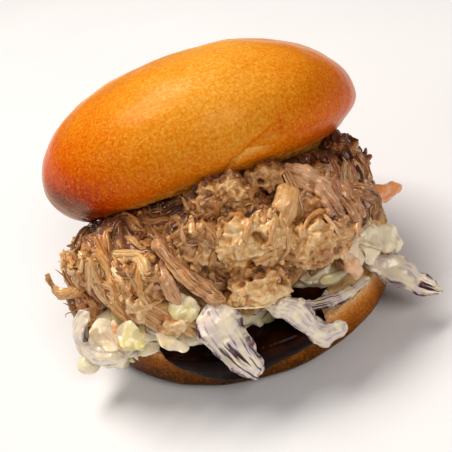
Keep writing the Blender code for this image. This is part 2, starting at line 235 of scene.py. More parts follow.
# %% Make the crown
def make_crown(material):
    bm = spun(crown_outline())
    bake_and_painted_light = bm.verts.layers.float.new("bake_and_painted_light")
    torn = bm.verts.layers.float.new("torn")
    bm.normal_update()
    for vert in bm.verts:
        place = vert.co.copy()
        azimuth = math.atan2(place.y, place.x)
        height = place.z
        normal = vert.normal.copy()
        wide = 0.9 * MM * soft_noise(place, 32.0 * MM, 4.0)
        wide += 0.25 * MM * soft_noise(place, 9.0 * MM, 9.0)
        right = max(math.cos(azimuth), 0.0)
        left = max(-math.cos(azimuth), 0.0)
        low_curl = 1.0 - smooth_step(0.0, CROWN_BELLY, height)
        right_fuller = MM * right ** 2 * (1.1 * smooth_step(0.3, 0.9, height / CROWN_BELLY) - 2.6 * low_curl)
        left_tucked = -0.5 * MM * left * low_curl
        rim = math.exp(-(height / (1.3 * MM)) ** 2) if height > 0.0 else 0.0
        ragged = 0.55 * MM * soft_noise(place, 2.2 * MM, 6.0) * rim
        on_cut = height <= 0.0
        if on_cut:
            outward = Vector((math.cos(azimuth), math.sin(azimuth), 0.0))
            outward *= (place.length / CROWN_CUT_RADIUS) ** 4
            vert.co = place + outward * (right_fuller + left_tucked)
            vert.co.z += 0.35 * MM * soft_noise(place, 1.6 * MM, 2.0)
        else:
            vert.co = place + normal * (wide + right_fuller + left_tucked + ragged)
        vert.co.y *= CROWN_DEPTH
        curl = 1.0 - smooth_step(0.0, CROWN_BELLY * 1.3, height)
        patchy = 0.07 * soft_noise(place, 18.0 * MM, 11.0)
        low = 1.0 - smooth_step(0.2, 0.95, height / CROWN_TALL)
        # Painted highlight: the crust is made paler in two patches on the upper front and upper left, where
        # the lamp's highlight falls.
        painted_highlight = math.exp(-((place - mm(12.0, -26.0, 34.0)).length / (19.0 * MM)) ** 2)
        painted_highlight += 1.3 * math.exp(-((place - mm(-23.0, -14.0, 38.0)).length / (13.0 * MM)) ** 2)
        # Painted shade: the crust is darker towards the bottom and under its curl; at the lower left and
        # right ends the darkening is partly real browning and partly painted shade.
        level = 0.28 + 0.64 * left ** 2 * low + 0.34 * right ** 2 * low + 0.10 * low - 0.24 * painted_highlight
        level += 0.08 * curl + 0.16 * curl * left ** 2 - 0.30 * rim
        vert[bake_and_painted_light] = 0.0 if on_cut else min(max(level + patchy, 0.02), 1.0)
        vert[torn] = 1.0 if on_cut else 0.75 * math.exp(-(height / (0.9 * MM)) ** 2)
    bmesh.ops.transform(bm, matrix=CROWN_STAND, verts=bm.verts[:])
    bm.normal_update()
    for vert in bm.verts:
        if vert.co.y < FRONT_OF_CROWN and vert.co.x > 0.0:
            away = nearest_on_line(vert.co, FOLD_LINES[0][0])[0]
            vert.co = vert.co + vert.normal * fold_push(vert.co)
            line = math.exp(-(away / (0.55 * MM)) ** 2)
            vert[torn] = max(vert[torn], 0.7 * line)
            vert[bake_and_painted_light] = max(vert[bake_and_painted_light] - 0.30 * line, 0.0)
    return finish_piece(bm, "crown", material, "crust_crown", "bun_crown")


# %% [markdown]
# ## The heel
#
# The heel is the flat half that stood on the baking tray. Its cut face is open crumb, toasted at
# the rim, so that face gets real pores: points near the middle of a cell are pushed down, and their
# colour is made darker as painted shade. The crust round it got hardly any egg wash, so it is duller.
# Its colour is painted darker towards the base as painted shade, and lighter at the right as painted
# light. One number per point, crumb, tells the material where the bread is open, and
# bake_and_painted_light how far the crust has browned, with that painted shade and light.

# %% Sizes of the heel, from its solid
heel_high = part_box("bun_heel")[1]
RIM_HEIGHT = heel_high.z
RIM_RADIUS = 54.7 * MM
BELLY_RADIUS = heel_high.x
BELLY_HEIGHT = 6.0 * MM
BASE_RADIUS = 38.0 * MM


def heel_outline():
    """From the middle of the cut face, out to the rim and down the crust to the base."""
    points = [(RIM_RADIUS * 0.62 * i / 12.0, RIM_HEIGHT) for i in range(12)]
    points += [(RIM_RADIUS * (0.62 + 0.38 * i / 48.0), RIM_HEIGHT) for i in range(48)]
    for i in range(22):
        angle = i / 22.0 * math.pi / 2.0
        points.append((RIM_RADIUS + (BELLY_RADIUS - RIM_RADIUS) * math.sin(angle),
                       RIM_HEIGHT - (RIM_HEIGHT - BELLY_HEIGHT) * (1.0 - math.cos(angle))))
    for i in range(17):
        angle = i / 16.0 * math.pi / 2.0
        points.append((BASE_RADIUS + (BELLY_RADIUS - BASE_RADIUS) * math.cos(angle),
                       BELLY_HEIGHT * (1.0 - math.sin(angle))))
    points.append((BASE_RADIUS * 0.5, 0.0))
    points.append((0.0, 0.0))
    return points


def pore_depth(place):
    """How deep the crumb's bubbles are at a place: big ones 3 mm apart, small ones 1.2 mm."""
    big = noise.voronoi(place / (3.0 * MM))[0][0]
    small = noise.voronoi(place / (1.2 * MM))[0][0]
    return 1.0 * MM * (1.0 - smooth_step(0.15, 0.55, big)) + 0.4 * MM * (1.0 - smooth_step(0.1, 0.5, small))


def make_heel(material):
    bm = spun(heel_outline())
    bake_and_painted_light = bm.verts.layers.float.new("bake_and_painted_light")
    crumb = bm.verts.layers.float.new("crumb")
    bm.normal_update()
    for vert in bm.verts:
        place = vert.co.copy()
        reach = math.hypot(place.x, place.y)
        open_face = place.z >= RIM_HEIGHT - 0.01 * MM
        normal = vert.normal.copy()
        if open_face:
            rim = smooth_step(RIM_RADIUS - 2.0 * MM, RIM_RADIUS, reach)
            sink = pore_depth(place) * (1.0 - 0.5 * rim)
            vert.co.z -= sink + 0.5 * MM * rim * (1.0 + soft_noise(place, 3.0 * MM, 5.0))
            vert[crumb] = 1.0
            # The toasted rim is real; the term with sink paints the pores darker by their depth, as painted
            # shade.
            vert[bake_and_painted_light] = 0.14 + 0.20 * smooth_step(RIM_RADIUS - 4.0 * MM, RIM_RADIUS, reach) + 130.0 * sink
        elif place.z > 0.0:
            down = 1.0 - place.z / RIM_HEIGHT
            right = max(place.x / RIM_RADIUS, 0.0)
            edge = math.exp(-(down / (0.10 + 0.10 * right)) ** 2)
            vert.co = place + normal * (0.35 * MM * soft_noise(place, 14.0 * MM, 7.0)
                                        - edge * 0.5 * MM * (1.0 + soft_noise(place, 2.0 * MM, 8.0)))
            vert[crumb] = 0.8 * edge
            # Painted shade and light: the crust is darker towards the base and lighter at the right.
            browning_and_painted_light = 0.52 - 0.42 * right + 0.40 * smooth_step(0.1, 0.8, down)
            vert[bake_and_painted_light] = browning_and_painted_light + 0.08 * soft_noise(place, 9.0 * MM, 2.0)
    for vert in bm.verts:
        vert.co.z = max(vert.co.z, 0.0)
    return finish_piece(bm, "heel", material, "crust_heel", "bun_heel")


# %% [markdown]
# ## Brioche crust
#
# Brioche dough is rich in butter and egg and is brushed with egg before baking. That gives a thin,
# satin to glossy crust that runs from gold on top through orange to chestnut, with fine pale blisters
# about half a millimetre across. The number bake_and_painted_light holds that browning together with
# painted light. On the crown it carries a pale painted highlight at the upper front and left, and
# painted shade that darkens the bottom, the under-curl and, along with real browning, the lower ends.
# On the heel it carries painted shade at the base and in the pores, and painted light at the right.
# The egg wash is an amber film, so it is a tinted coat over a rougher base: it deepens the orange
# where the crust turns away. The indices are set below a real crust's 1.4, so that the pale room's
# reflection doesn't wash the orange out. Open crumb is paler, dry and rough, and takes the same
# number for its toasting.

# %% Crust and crumb materials
def make_crust(name, stops, index, coat, flecks, crumb_layer):
    made, tree, shader = new_material(name)
    coord = add_node(tree, "ShaderNodeTexCoord").outputs["Object"]
    bake_and_painted_light = add_node(tree, "ShaderNodeAttribute", attribute_name="bake_and_painted_light").outputs["Fac"]
    open_crumb = add_node(tree, "ShaderNodeAttribute", attribute_name=crumb_layer).outputs["Fac"]
    cloud = add_node(tree, "ShaderNodeTexNoise", {"Vector": coord, "Scale": 1.0 / (7.0 * MM), "Detail": 6.0,
                                                  "Roughness": 0.62}).outputs["Fac"]
    level = add_node(tree, "ShaderNodeMath", {0: cloud, 1: 0.12, 2: -0.06},
                     operation="MULTIPLY_ADD").outputs[0]
    level = add_node(tree, "ShaderNodeMath", {0: bake_and_painted_light, 1: level}, operation="ADD").outputs[0]
    pores = add_node(tree, "ShaderNodeTexNoise", {"Vector": coord, "Scale": 1.0 / (0.9 * MM), "Detail": 3.0,
                                                  "Roughness": 0.7}).outputs["Fac"]
    level = add_node(tree, "ShaderNodeMath", {0: pores, 1: 0.96, 2: level},
                     operation="MULTIPLY_ADD").outputs[0]
    level = add_node(tree, "ShaderNodeMath", {0: level, 1: 0.48}, operation="SUBTRACT").outputs[0]
    crust = add_node(tree, "ShaderNodeValToRGB", {"Fac": level}, stops=stops).outputs["Color"]
    cells = add_node(tree, "ShaderNodeTexVoronoi", {"Vector": coord, "Scale": 1.0 / (1.1 * MM),
                                                    "Randomness": 1.0})
    blister = add_node(tree, "ShaderNodeMapRange", {"Value": cells.outputs["Distance"],
                                                    "From Min": 0.14, "From Max": 0.34,
                                                    "To Min": 1.0, "To Max": 0.0}).outputs[0]
    some = add_node(tree, "ShaderNodeMapRange", {"Value": cells.outputs["Color"], "From Min": 0.40,
                                                 "From Max": 0.85}).outputs[0]
    blister = add_node(tree, "ShaderNodeMath", {0: blister, 1: some}, operation="MULTIPLY").outputs[0]
    fleck = add_node(tree, "ShaderNodeMath", {0: blister, 1: flecks}, operation="MULTIPLY").outputs[0]
    pale = add_node(tree, "ShaderNodeMix", {MIX_FACTOR: fleck, MIX_A: crust, MIX_B: hex_linear("#FFDFA0")},
                    data_type="RGBA").outputs[MIX_RESULT]
    toasted = add_node(tree, "ShaderNodeValToRGB", {"Fac": level},
                       stops=((0.15, "#F8E2B8"), (0.45, "#E6B070"), (0.75, "#B56C34"), (1.0, "#6B3312")))
    colour = add_node(tree, "ShaderNodeMix", {MIX_FACTOR: open_crumb, MIX_A: pale,
                                              MIX_B: toasted.outputs["Color"]},
                      data_type="RGBA").outputs[MIX_RESULT]
    tree.links.new(colour, shader.inputs["Base Color"])
    skin = add_node(tree, "ShaderNodeTexNoise", {"Vector": coord, "Scale": 1.0 / (1.1 * MM),
                                                 "Detail": 4.0}).outputs["Fac"]
    skin = add_node(tree, "ShaderNodeMath", {0: skin, 1: 0.7, 2: blister},
                    operation="MULTIPLY_ADD").outputs[0]
    torn_bread = add_node(tree, "ShaderNodeMath", {0: pores, 1: open_crumb},
                          operation="MULTIPLY").outputs[0]
    skin = add_node(tree, "ShaderNodeMath", {0: torn_bread, 1: 4.0, 2: skin},
                    operation="MULTIPLY_ADD").outputs[0]
    fine = add_node(tree, "ShaderNodeBump", {"Height": skin, "Strength": 0.70, "Distance": 0.20 * MM})
    tree.links.new(fine.outputs["Normal"], shader.inputs["Normal"])
    rough = add_node(tree, "ShaderNodeMapRange", {"Value": open_crumb, "To Min": 0.36,
                                                  "To Max": 0.85}).outputs[0]
    tree.links.new(rough, shader.inputs["Roughness"])
    shader.inputs["IOR"].default_value = index
    shader.inputs["Coat Weight"].default_value = coat
    shader.inputs["Coat Roughness"].default_value = 0.25
    shader.inputs["Coat IOR"].default_value = 1.12
    shader.inputs["Coat Tint"].default_value = hex_linear("#FFE2A0")
    shader.inputs["Subsurface Weight"].default_value = 0.06
    shader.inputs["Subsurface Radius"].default_value = (1.0, 0.4, 0.15)
    shader.inputs["Subsurface Scale"].default_value = 3.0 * MM
    return made


crown_crust = make_crust("egg_washed_brioche_crust",
                         ((0.0, "#FAE6BC"), (0.22, "#ECBE64"), (0.45, "#E09824"), (0.62, "#DA740C"),
                          (0.80, "#C84C04"), (0.92, "#8A3604"), (1.0, "#6A2A04")), 1.13, 1.0, 0.60, "torn")
heel_crust = make_crust("tray_baked_brioche_crust",
                        ((0.0, "#D0903C"), (0.30, "#C07420"), (0.55, "#8A500E"), (0.80, "#54300A"),
                         (1.0, "#2C1404")), 1.12, 0.3, 0.12, "crumb")

# %% Make both halves
make_crown(crown_crust)
make_heel(heel_crust)

# %% [markdown]
# ## The pool of sauce
#
# Barbecue sauce is a thick sugar and tomato syrup, almost black where it lies deep. It was poured
# on the heel, and a tongue of it hangs over the front rim and stops in a fat rounded edge. A fluid
# simulation could find that edge, but the pool is really one layer with a blunt border: a sphere
# is pressed flat, given the pool's outline and laid on the heel, and past the rim it folds down.

# %% Lay a flat place on the heel
GAP = 0.3 * MM
RIM_FOLD = 3.0 * MM
RIM_STAND_OFF = 0.9 * MM


def drape(x, y, lift):
    """A place on the cut face, lifted; past the rim it folds down the crust."""
    reach = math.hypot(x, y)
    out = Vector((x / max(reach, 1e-9), y / max(reach, 1e-9), 0.0))
    folded = (reach - RIM_RADIUS + RIM_FOLD) / (2.0 * RIM_FOLD)
    turn = min(max(folded, 0.0), 1.0) * math.pi / 2.0
    normal = out * math.sin(turn) + Vector((0.0, 0.0, math.cos(turn)))
    if reach <= RIM_RADIUS:
        foot = out * reach + Vector((0.0, 0.0, RIM_HEIGHT))
    else:
        foot = out * BELLY_RADIUS + Vector((0.0, 0.0, RIM_HEIGHT - (reach - RIM_RADIUS)))
    return foot + normal * (lift + RIM_STAND_OFF * math.sin(2.0 * turn))


def ellipse_reach(reach, angle):
    return 1.0 / math.hypot(math.cos(angle) / reach[0], math.sin(angle) / reach[1])


def pad(centre, outline, thickness, square, segments, rings):
    """A layer with a rounded edge, draped over the heel; square makes the edge blunter."""
    bm = bmesh.new()
    bmesh.ops.create_uvsphere(bm, u_segments=segments, v_segments=rings, radius=1.0)
    for vert in bm.verts:
        flat = math.hypot(vert.co.x, vert.co.y)
        angle = math.atan2(vert.co.y, vert.co.x)
        out = min(flat, 1.0) ** (2.0 / square)
        level = math.copysign(min(abs(vert.co.z), 1.0) ** (2.0 / square), vert.co.z)
        x = centre[0] + outline(angle) * out * math.cos(angle)
        y = centre[1] + outline(angle) * out * math.sin(angle)
        vert.co = drape(x, y, GAP + thickness(x, y) * 0.5 * (1.0 + level))
    if bm.calc_volume(signed=True) < 0.0:
        bmesh.ops.reverse_faces(bm, faces=bm.faces[:])
    return bm


# %% Make the pool
def sauce_outline(angle):
    tongue = math.exp(-((angle + 1.85) / 0.5) ** 2)
    right = math.exp(-((angle + 0.35) / 0.5) ** 2)
    return (ellipse_reach((35.0 * MM, 24.5 * MM), angle) + 5.0 * MM * tongue - 9.0 * MM * right
            + 1.2 * MM * math.sin(5.0 * angle))


def sauce_thickness(x, y):
    rim_roll = 0.9 * MM * math.exp(-((math.hypot(x, y) - 56.0 * MM) / (3.5 * MM)) ** 2)
    return 3.2 * MM + rim_roll + 0.35 * MM * soft_noise(Vector((x, y, 0.0)), 9.0 * MM, 1.0)


def make_sauce(material):
    bm = pad((1.0 * MM, -34.0 * MM), sauce_outline, sauce_thickness, 3.0, 220, 70)
    return finish_piece(bm, "sauce", material, "sauce", "barbecue_sauce")


# %% [markdown]
# ## Sauce finish
#
# A syrup has a smooth wet surface. Almost no light comes back from inside, so the colour is a very
# dark red brown, and what the eye sees is the sharp reflection on its rolled edge. Its index is set
# far below a real syrup's 1.45, because the reflection of a pale room would turn the pool grey. A
# few trapped bubbles and spice specks break that reflection, so a cell pattern of about a
# millimetre lifts the surface a little.

# %% Sauce material
def make_sauce_finish():
    made, tree, shader = new_material("barbecue_sauce_syrup")
    coord = add_node(tree, "ShaderNodeTexCoord").outputs["Object"]
    cloud = add_node(tree, "ShaderNodeTexNoise", {"Vector": coord, "Scale": 1.0 / (6.0 * MM),
                                                  "Detail": 4.0}).outputs["Fac"]
    colour = add_node(tree, "ShaderNodeValToRGB", {"Fac": cloud},
                      stops=((0.30, "#0A0200"), (0.55, "#180602"), (0.75, "#301204")))
    tree.links.new(colour.outputs["Color"], shader.inputs["Base Color"])
    cells = add_node(tree, "ShaderNodeTexVoronoi", {"Vector": coord,
                                                    "Scale": 1.0 / (1.3 * MM)}).outputs["Distance"]
    bubble = add_node(tree, "ShaderNodeMapRange", {"Value": cells, "From Min": 0.05, "From Max": 0.40,
                                                   "To Min": 1.0, "To Max": 0.0}).outputs[0]
    wavy = add_node(tree, "ShaderNodeMath", {0: cloud, 1: 1.4, 2: bubble},
                    operation="MULTIPLY_ADD").outputs[0]
    lift = add_node(tree, "ShaderNodeBump", {"Height": wavy, "Strength": 0.30, "Distance": 0.18 * MM})
    tree.links.new(lift.outputs["Normal"], shader.inputs["Normal"])
    shader.inputs["Roughness"].default_value = 0.14
    shader.inputs["IOR"].default_value = 1.12
    return made


make_sauce(make_sauce_finish())

# %% [markdown]
# ## One way to make every shred
#
# Shreds of meat, cabbage and carrot are all long, flat and soft-ended. Hair curves would give thin
# threads, but these need a cross-section, so each one starts as a ball and is drawn out along a
# smooth route. The ball stays closed, so each shred is a solid of its own. A shred knows its route,
# its widths and thicknesses along it, the way its broad face looks, how far it is cupped, how much
# its edges ruffle, how deep its grooves run, how blunt its ends are, and its look: three numbers for
# the material. A second set of three numbers holds the place along the shred, the place across it
# and its seed, for grain that follows it.

# %% What one shred is
import numpy as np


def shred(route, widths, thicks, facing, look=(0.5, 0.0, 0.0), cup=0.0, ruffle=0.0, groove=0.0,
          seed=0.0, blunt=4):
    """What draw_out needs to know of one shred, all in metres."""
    return {"route": np.array([list(p) for p in route]), "widths": np.array(widths),
            "thicks": np.array(thicks), "facing": np.array(list(facing)), "look": look, "cup": cup,
            "ruffle": ruffle, "groove": groove, "seed": seed, "blunt": blunt}


def smooth_path(route, along):
    """Places and directions on a Catmull-Rom curve through the route, for values from 0 to 1."""
    last = len(route) - 1
    padded = np.vstack((2.0 * route[0] - route[1], route, 2.0 * route[-1] - route[-2]))
    spot = along * last
    index = np.clip(np.floor(spot).astype(int), 0, last - 1)
    f = (spot - index)[:, None]
    p0, p1, p2, p3 = padded[index], padded[index + 1], padded[index + 2], padded[index + 3]
    place = 0.5 * (2.0 * p1 + (p2 - p0) * f + (2.0 * p0 - 5.0 * p1 + 4.0 * p2 - p3) * f ** 2
                   + (3.0 * p1 - p0 - 3.0 * p2 + p3) * f ** 3)
    way = 0.5 * ((p2 - p0) + 2.0 * (2.0 * p0 - 5.0 * p1 + 4.0 * p2 - p3) * f
                 + 3.0 * (3.0 * p1 - p0 - 3.0 * p2 + p3) * f ** 2)
    return place, way / np.maximum(np.linalg.norm(way, axis=1), 1e-9)[:, None]


# %% Draw a ball out along a route
def draw_out(ball, item):
    """Move a unit ball's points onto one shred; also give its place along, across and its seed."""
    level = np.clip(ball[:, 2], -1.0, 1.0)
    along = 0.5 * (1.0 + level)
    angle = np.arctan2(ball[:, 1], ball[:, 0])
    place, way = smooth_path(item["route"], along)
    up = item["facing"][None, :] - way * (way @ item["facing"])[:, None]
    up /= np.maximum(np.linalg.norm(up, axis=1), 1e-9)[:, None]
    side = np.cross(up, way)
    marks = np.linspace(0.0, 1.0, len(item["widths"]))
    blunt = np.sqrt(np.clip(1.0 - level ** item["blunt"], 0.0, 1.0))
    seed = item["seed"]
    grooves = (np.sin(5.0 * angle + 1.7 * seed + 2.0 * along) + np.sin(8.0 * angle - 2.3 * seed)
               + 0.7 * np.sin(3.0 * angle + 9.0 * along + seed))
    ragged = (1.4 * np.sin(7.0 * along + 2.0 * seed) + np.sin(17.0 * along + seed)
              + np.sin(29.0 * along + 2.0 * angle))
    swell = 1.0 + item["groove"] * (0.40 * grooves + 0.25 * ragged)
    wide = 0.5 * np.interp(along, marks, item["widths"]) * blunt * swell
    thick = 0.5 * np.interp(along, marks, item["thicks"]) * blunt * swell
    across = np.cos(angle)
    bent = item["cup"] * (across * blunt) ** 2
    bent += item["ruffle"] * np.sin(11.0 * along + seed + 1.5 * across) * across ** 2 * blunt
    place = place + side * (wide * across)[:, None] + up * (thick * np.sin(angle) + bent)[:, None]
    length = np.linalg.norm(np.diff(item["route"], axis=0), axis=1).sum()
    return place, np.stack((along * length / MM, across * blunt, np.full(len(ball), seed)), axis=1)


# %% Many shreds in one mesh
def shreds_mesh(name, items, sides, rings):
    """One mesh of many shreds, with the attributes look and fibre."""
    single = bmesh.new()
    bmesh.ops.create_uvsphere(single, u_segments=sides, v_segments=rings, radius=1.0)
    one = bpy.data.meshes.new("ball")
    single.to_mesh(one)
    ball = np.array([list(v.co) for v in single.verts])
    single.free()
    many = bmesh.new()
    for _ in items:
        many.from_mesh(one)
    mesh = bpy.data.meshes.new(name)
    many.to_mesh(mesh)
    many.free()
    drawn = [draw_out(ball, item) for item in items]
    looks = [np.tile(np.array(item["look"], dtype=float), (len(ball), 1)) for item in items]
    mesh.vertices.foreach_set("co", np.concatenate([d[0] for d in drawn]).astype(np.float32).ravel())
    for layer, values in (("fibre", [d[1] for d in drawn]), ("look", looks)):
        attribute = mesh.attributes.new(layer, "FLOAT_VECTOR", "POINT")
        attribute.data.foreach_set("vector", np.concatenate(values).astype(np.float32).ravel())
    mesh.update()
    return mesh


def finish_shreds(name, items, sides, rings, material, slot, *stands_for):
    """A finished piece of many shreds."""
    return place_mesh(shreds_mesh(name, items, sides, rings), name, material, slot, *stands_for)


# %% Split a shred into fibres
def bundle(item, count, rng, spread=0.75, look_step=0.12):
    """Split one broad shred into parallel fibres, some shorter, with frayed ends."""
    fibres = []
    route, facing = item["route"], item["facing"]
    way = np.gradient(route, axis=0)
    way /= np.linalg.norm(way, axis=1)[:, None]
    up = facing[None, :] - way * (way @ facing)[:, None]
    up /= np.linalg.norm(up, axis=1)[:, None]
    side = np.cross(up, way)
    for i in range(count):
        turn = math.tau * i / count + rng.uniform(-0.3, 0.3)
        out = spread * rng.uniform(0.55, 1.0) if i else 0.0
        twist = rng.uniform(-0.25, 0.25)
        marks = np.linspace(-1.0, 1.0, len(route))
        aside = 0.5 * item["widths"] * out * np.cos(turn + twist * marks)
        above = 0.5 * item["thicks"] * out * np.sin(turn + twist * marks)
        path = route + side * aside[:, None] + up * above[:, None]
        if i:
            path[0] += (path[0] - path[1]) * rng.uniform(-0.35, 0.15)
            path[-1] += (path[-1] - path[-2]) * rng.uniform(-0.45, 0.20)
        share = rng.uniform(0.30, 0.46) if i else 0.75
        tone = item["look"][0] + rng.uniform(-look_step, look_step)
        fibres.append({**item, "route": path, "widths": item["widths"] * share,
                       "thicks": item["thicks"] * share * 0.9,
                       "look": (tone, item["look"][1], item["look"][2]), "cup": 0.0, "groove": 0.22,
                       "seed": item["seed"] + 1.37 * i})
    return fibres


# %% [markdown]
# ## The bed of coleslaw
#
# Coleslaw is shredded white and red cabbage with carrot, wet with a cream dressing. Under the meat
# it packs into one bed, and at the rim single shreds stick out of it. The bed is a pad like the
# sauce, with the hills of its solid, and its surface is pushed into soft lumps a few millimetres
# wide, as dressing makes when it fills the gaps between shreds.

# %% Shape of the bed
SLAW_CENTRE = (0.0, -3.0 * MM)
SLAW_HILLS = (             # x, y, width and rise in millimetres
    (43, -24, 13, 17.0), (-40, -26, 15, 5.5), (-8, -44, 10, 7.5), (0, 52, 30, -5))


def slaw_outline(angle):
    reach = ellipse_reach((51.0 * MM, 48.0 * MM), angle)
    reach += 5.5 * MM * math.exp(-((angle + 2.45) / 0.40) ** 2)
    reach -= 9.0 * MM * math.exp(-((angle + 1.28) / 0.22) ** 2)
    reach -= 4.5 * MM * math.exp(-((angle + 0.70) / 0.35) ** 2)
    return reach + 1.3 * MM * math.sin(7.0 * angle + 0.8) + 0.9 * MM * math.sin(12.0 * angle)


def slaw_thickness(x, y):
    rise = 9.0 * MM
    for hill_x, hill_y, width, high in SLAW_HILLS:
        away = math.hypot(x - hill_x * MM, y - hill_y * MM) / (width * MM)
        rise += high * MM * math.exp(-away * away)
    return rise


def roughen(bm, size, amount, seed, octaves=2):
    """Push the points of a shape in and out along their normals."""
    bm.normal_update()
    moves = [amount * soft_noise(vert.co, size, seed, octaves) for vert in bm.verts]
    for vert, move in zip(bm.verts, moves):
        vert.co += vert.normal * move


def fix_face_order(bm):
    """Order the faces by their points, so that what is laid on them falls the same in every run."""
    ranked = sorted(bm.faces, key=lambda face: [vert.index for vert in face.verts])
    for place_in_list, face in enumerate(ranked):
        face.index = place_in_list
    bm.faces.sort()


def make_bed():
    bm = pad(SLAW_CENTRE, slaw_outline, slaw_thickness, 3.4, 340, 80)
    bm.verts.index_update()
    fix_face_order(bm)
    roughen(bm, 6.0 * MM, 2.0 * MM, 3.0)
    roughen(bm, 2.6 * MM, 0.8 * MM, 7.0)
    look = bm.verts.layers.float_vector.new("look")
    fibre = bm.verts.layers.float_vector.new("fibre")
    for vert in bm.verts:
        purple = smooth_step(0.15, 0.55, soft_noise(vert.co, 7.0 * MM, 12.0))
        green = smooth_step(0.0, 0.6, soft_noise(vert.co, 9.0 * MM, 15.0))
        more_at_right = 0.6 * smooth_step(34.0 * MM, 42.0 * MM, vert.co.x)
        carrot = smooth_step(0.25, 0.6, soft_noise(vert.co, 6.0 * MM, 18.0) + more_at_right)
        vert[look] = (0.45 * purple, 0.7 * green, 0.45 * carrot)
        vert[fibre] = (vert.co.x / MM, 0.0, 0.0)
    return bm


# %% [markdown]
# ## Finish of the slaw
#
# Cabbage is pale and lets some light through; red cabbage is white inside with a purple skin, so a
# cut strip shows purple at both edges and in thin veins along it. Carrot is soft orange. The
# dressing is an ivory emulsion, glossy, and it hides the colour under it where it lies thick. The
# "look" numbers are how purple, how green and how orange a shred is; its "fibre" numbers give the
# edge and the run of its veins, and a soft pattern four millimetres wide says where dressing lies.

# %% Slaw material
def make_slaw_finish(name, cream_share):
    made, tree, shader = new_material(name)
    coord = add_node(tree, "ShaderNodeTexCoord").outputs["Object"]
    look = add_node(tree, "ShaderNodeAttribute", attribute_name="look").outputs["Vector"]
    look = add_node(tree, "ShaderNodeSeparateXYZ", {"Vector": look}).outputs
    fibre = add_node(tree, "ShaderNodeAttribute", attribute_name="fibre").outputs["Vector"]
    parts = add_node(tree, "ShaderNodeSeparateXYZ", {"Vector": fibre}).outputs
    thread = add_node(tree, "ShaderNodeVectorMath", {0: fibre, 1: (0.10, 4.6, 5.0)},
                      operation="MULTIPLY").outputs[0]
    veins = add_node(tree, "ShaderNodeTexNoise", {"Vector": thread, "Scale": 1.0,
                                                  "Detail": 2.0}).outputs["Fac"]
    soft = add_node(tree, "ShaderNodeTexNoise", {"Vector": coord, "Scale": 1.0 / (4.0 * MM),
                                                 "Detail": 3.0}).outputs["Fac"]
    fine = add_node(tree, "ShaderNodeTexNoise", {"Vector": coord, "Scale": 1.0 / (1.2 * MM),
                                                 "Detail": 4.0}).outputs["Fac"]
    across = add_node(tree, "ShaderNodeMath", {0: parts["Y"]}, operation="ABSOLUTE").outputs[0]
    edge = add_node(tree, "ShaderNodeMath", {0: soft, 1: 0.7, 2: across},
                    operation="MULTIPLY_ADD").outputs[0]
    edge = add_node(tree, "ShaderNodeMapRange", {"Value": edge, "From Min": 1.03,
                                                 "From Max": 1.15}).outputs[0]
    vein = add_node(tree, "ShaderNodeMapRange", {"Value": veins, "From Min": 0.52,
                                                 "From Max": 0.59}).outputs[0]
    cover = add_node(tree, "ShaderNodeMapRange", {"Value": soft, "From Min": 0.44, "From Max": 0.56,
                                                  "To Max": cream_share}).outputs[0]
    bare = add_node(tree, "ShaderNodeMath", {0: cover, 1: -0.85, 2: 1.0},
                    operation="MULTIPLY_ADD").outputs[0]
    red = add_node(tree, "ShaderNodeMath", {0: look["X"], 1: 1.0}, operation="MINIMUM").outputs[0]
    strong = add_node(tree, "ShaderNodeMapRange", {"Value": look["X"], "From Min": 1.0,
                                                   "From Max": 1.4}).outputs[0]
    skin = add_node(tree, "ShaderNodeMath", {0: vein, 1: 0.5, 2: edge},
                    operation="MULTIPLY_ADD").outputs[0]
    skin = add_node(tree, "ShaderNodeMath", {0: skin, 1: bare}, operation="MULTIPLY").outputs[0]
    skin = add_node(tree, "ShaderNodeMath", {0: skin, 1: red}, operation="MULTIPLY").outputs[0]
    stripe = add_node(tree, "ShaderNodeMath", {0: vein, 1: strong}, operation="MULTIPLY").outputs[0]
    shown = add_node(tree, "ShaderNodeMath", {0: skin, 1: stripe}, operation="MAXIMUM",
                     use_clamp=True).outputs[0]
    leaf = add_node(tree, "ShaderNodeMix", {MIX_FACTOR: look["Y"], MIX_A: hex_linear("#F2E6CC"),
                                            MIX_B: hex_linear("#E2D888")},
                    data_type="RGBA").outputs[MIX_RESULT]
    leaf = add_node(tree, "ShaderNodeMix", {MIX_FACTOR: look["Z"], MIX_A: leaf,
                                            MIX_B: hex_linear("#EE8E3C")},
                    data_type="RGBA").outputs[MIX_RESULT]
    leaf = add_node(tree, "ShaderNodeMix", {MIX_FACTOR: red, MIX_A: leaf,
                                            MIX_B: hex_linear("#E4D8DA")},
                    data_type="RGBA").outputs[MIX_RESULT]
    purple = add_node(tree, "ShaderNodeValToRGB", {"Fac": fine},
                      stops=((0.38, "#1C0612"), (0.55, "#4C1834"), (0.75, "#8A5A7C"))).outputs["Color"]
    cream = add_node(tree, "ShaderNodeMix", {MIX_FACTOR: cover, MIX_A: leaf, MIX_B: hex_linear("#FBF0D4")},
                     data_type="RGBA").outputs[MIX_RESULT]
    colour = add_node(tree, "ShaderNodeMix", {MIX_FACTOR: shown, MIX_A: cream, MIX_B: purple},
                      data_type="RGBA").outputs[MIX_RESULT]
    tree.links.new(colour, shader.inputs["Base Color"])
    relief = add_node(tree, "ShaderNodeMath", {0: veins, 1: 0.4, 2: soft},
                      operation="MULTIPLY_ADD").outputs[0]
    lift = add_node(tree, "ShaderNodeBump", {"Height": relief, "Strength": 0.6, "Distance": 0.6 * MM})
    tree.links.new(lift.outputs["Normal"], shader.inputs["Normal"])
    shader.inputs["Roughness"].default_value = 0.30
    shader.inputs["Coat Weight"].default_value = 0.5
    shader.inputs["Coat Roughness"].default_value = 0.10
    shader.inputs["Subsurface Weight"].default_value = 0.15
    shader.inputs["Subsurface Radius"].default_value = (1.0, 0.8, 0.5)
    shader.inputs["Subsurface Scale"].default_value = 1.5 * MM
    return made


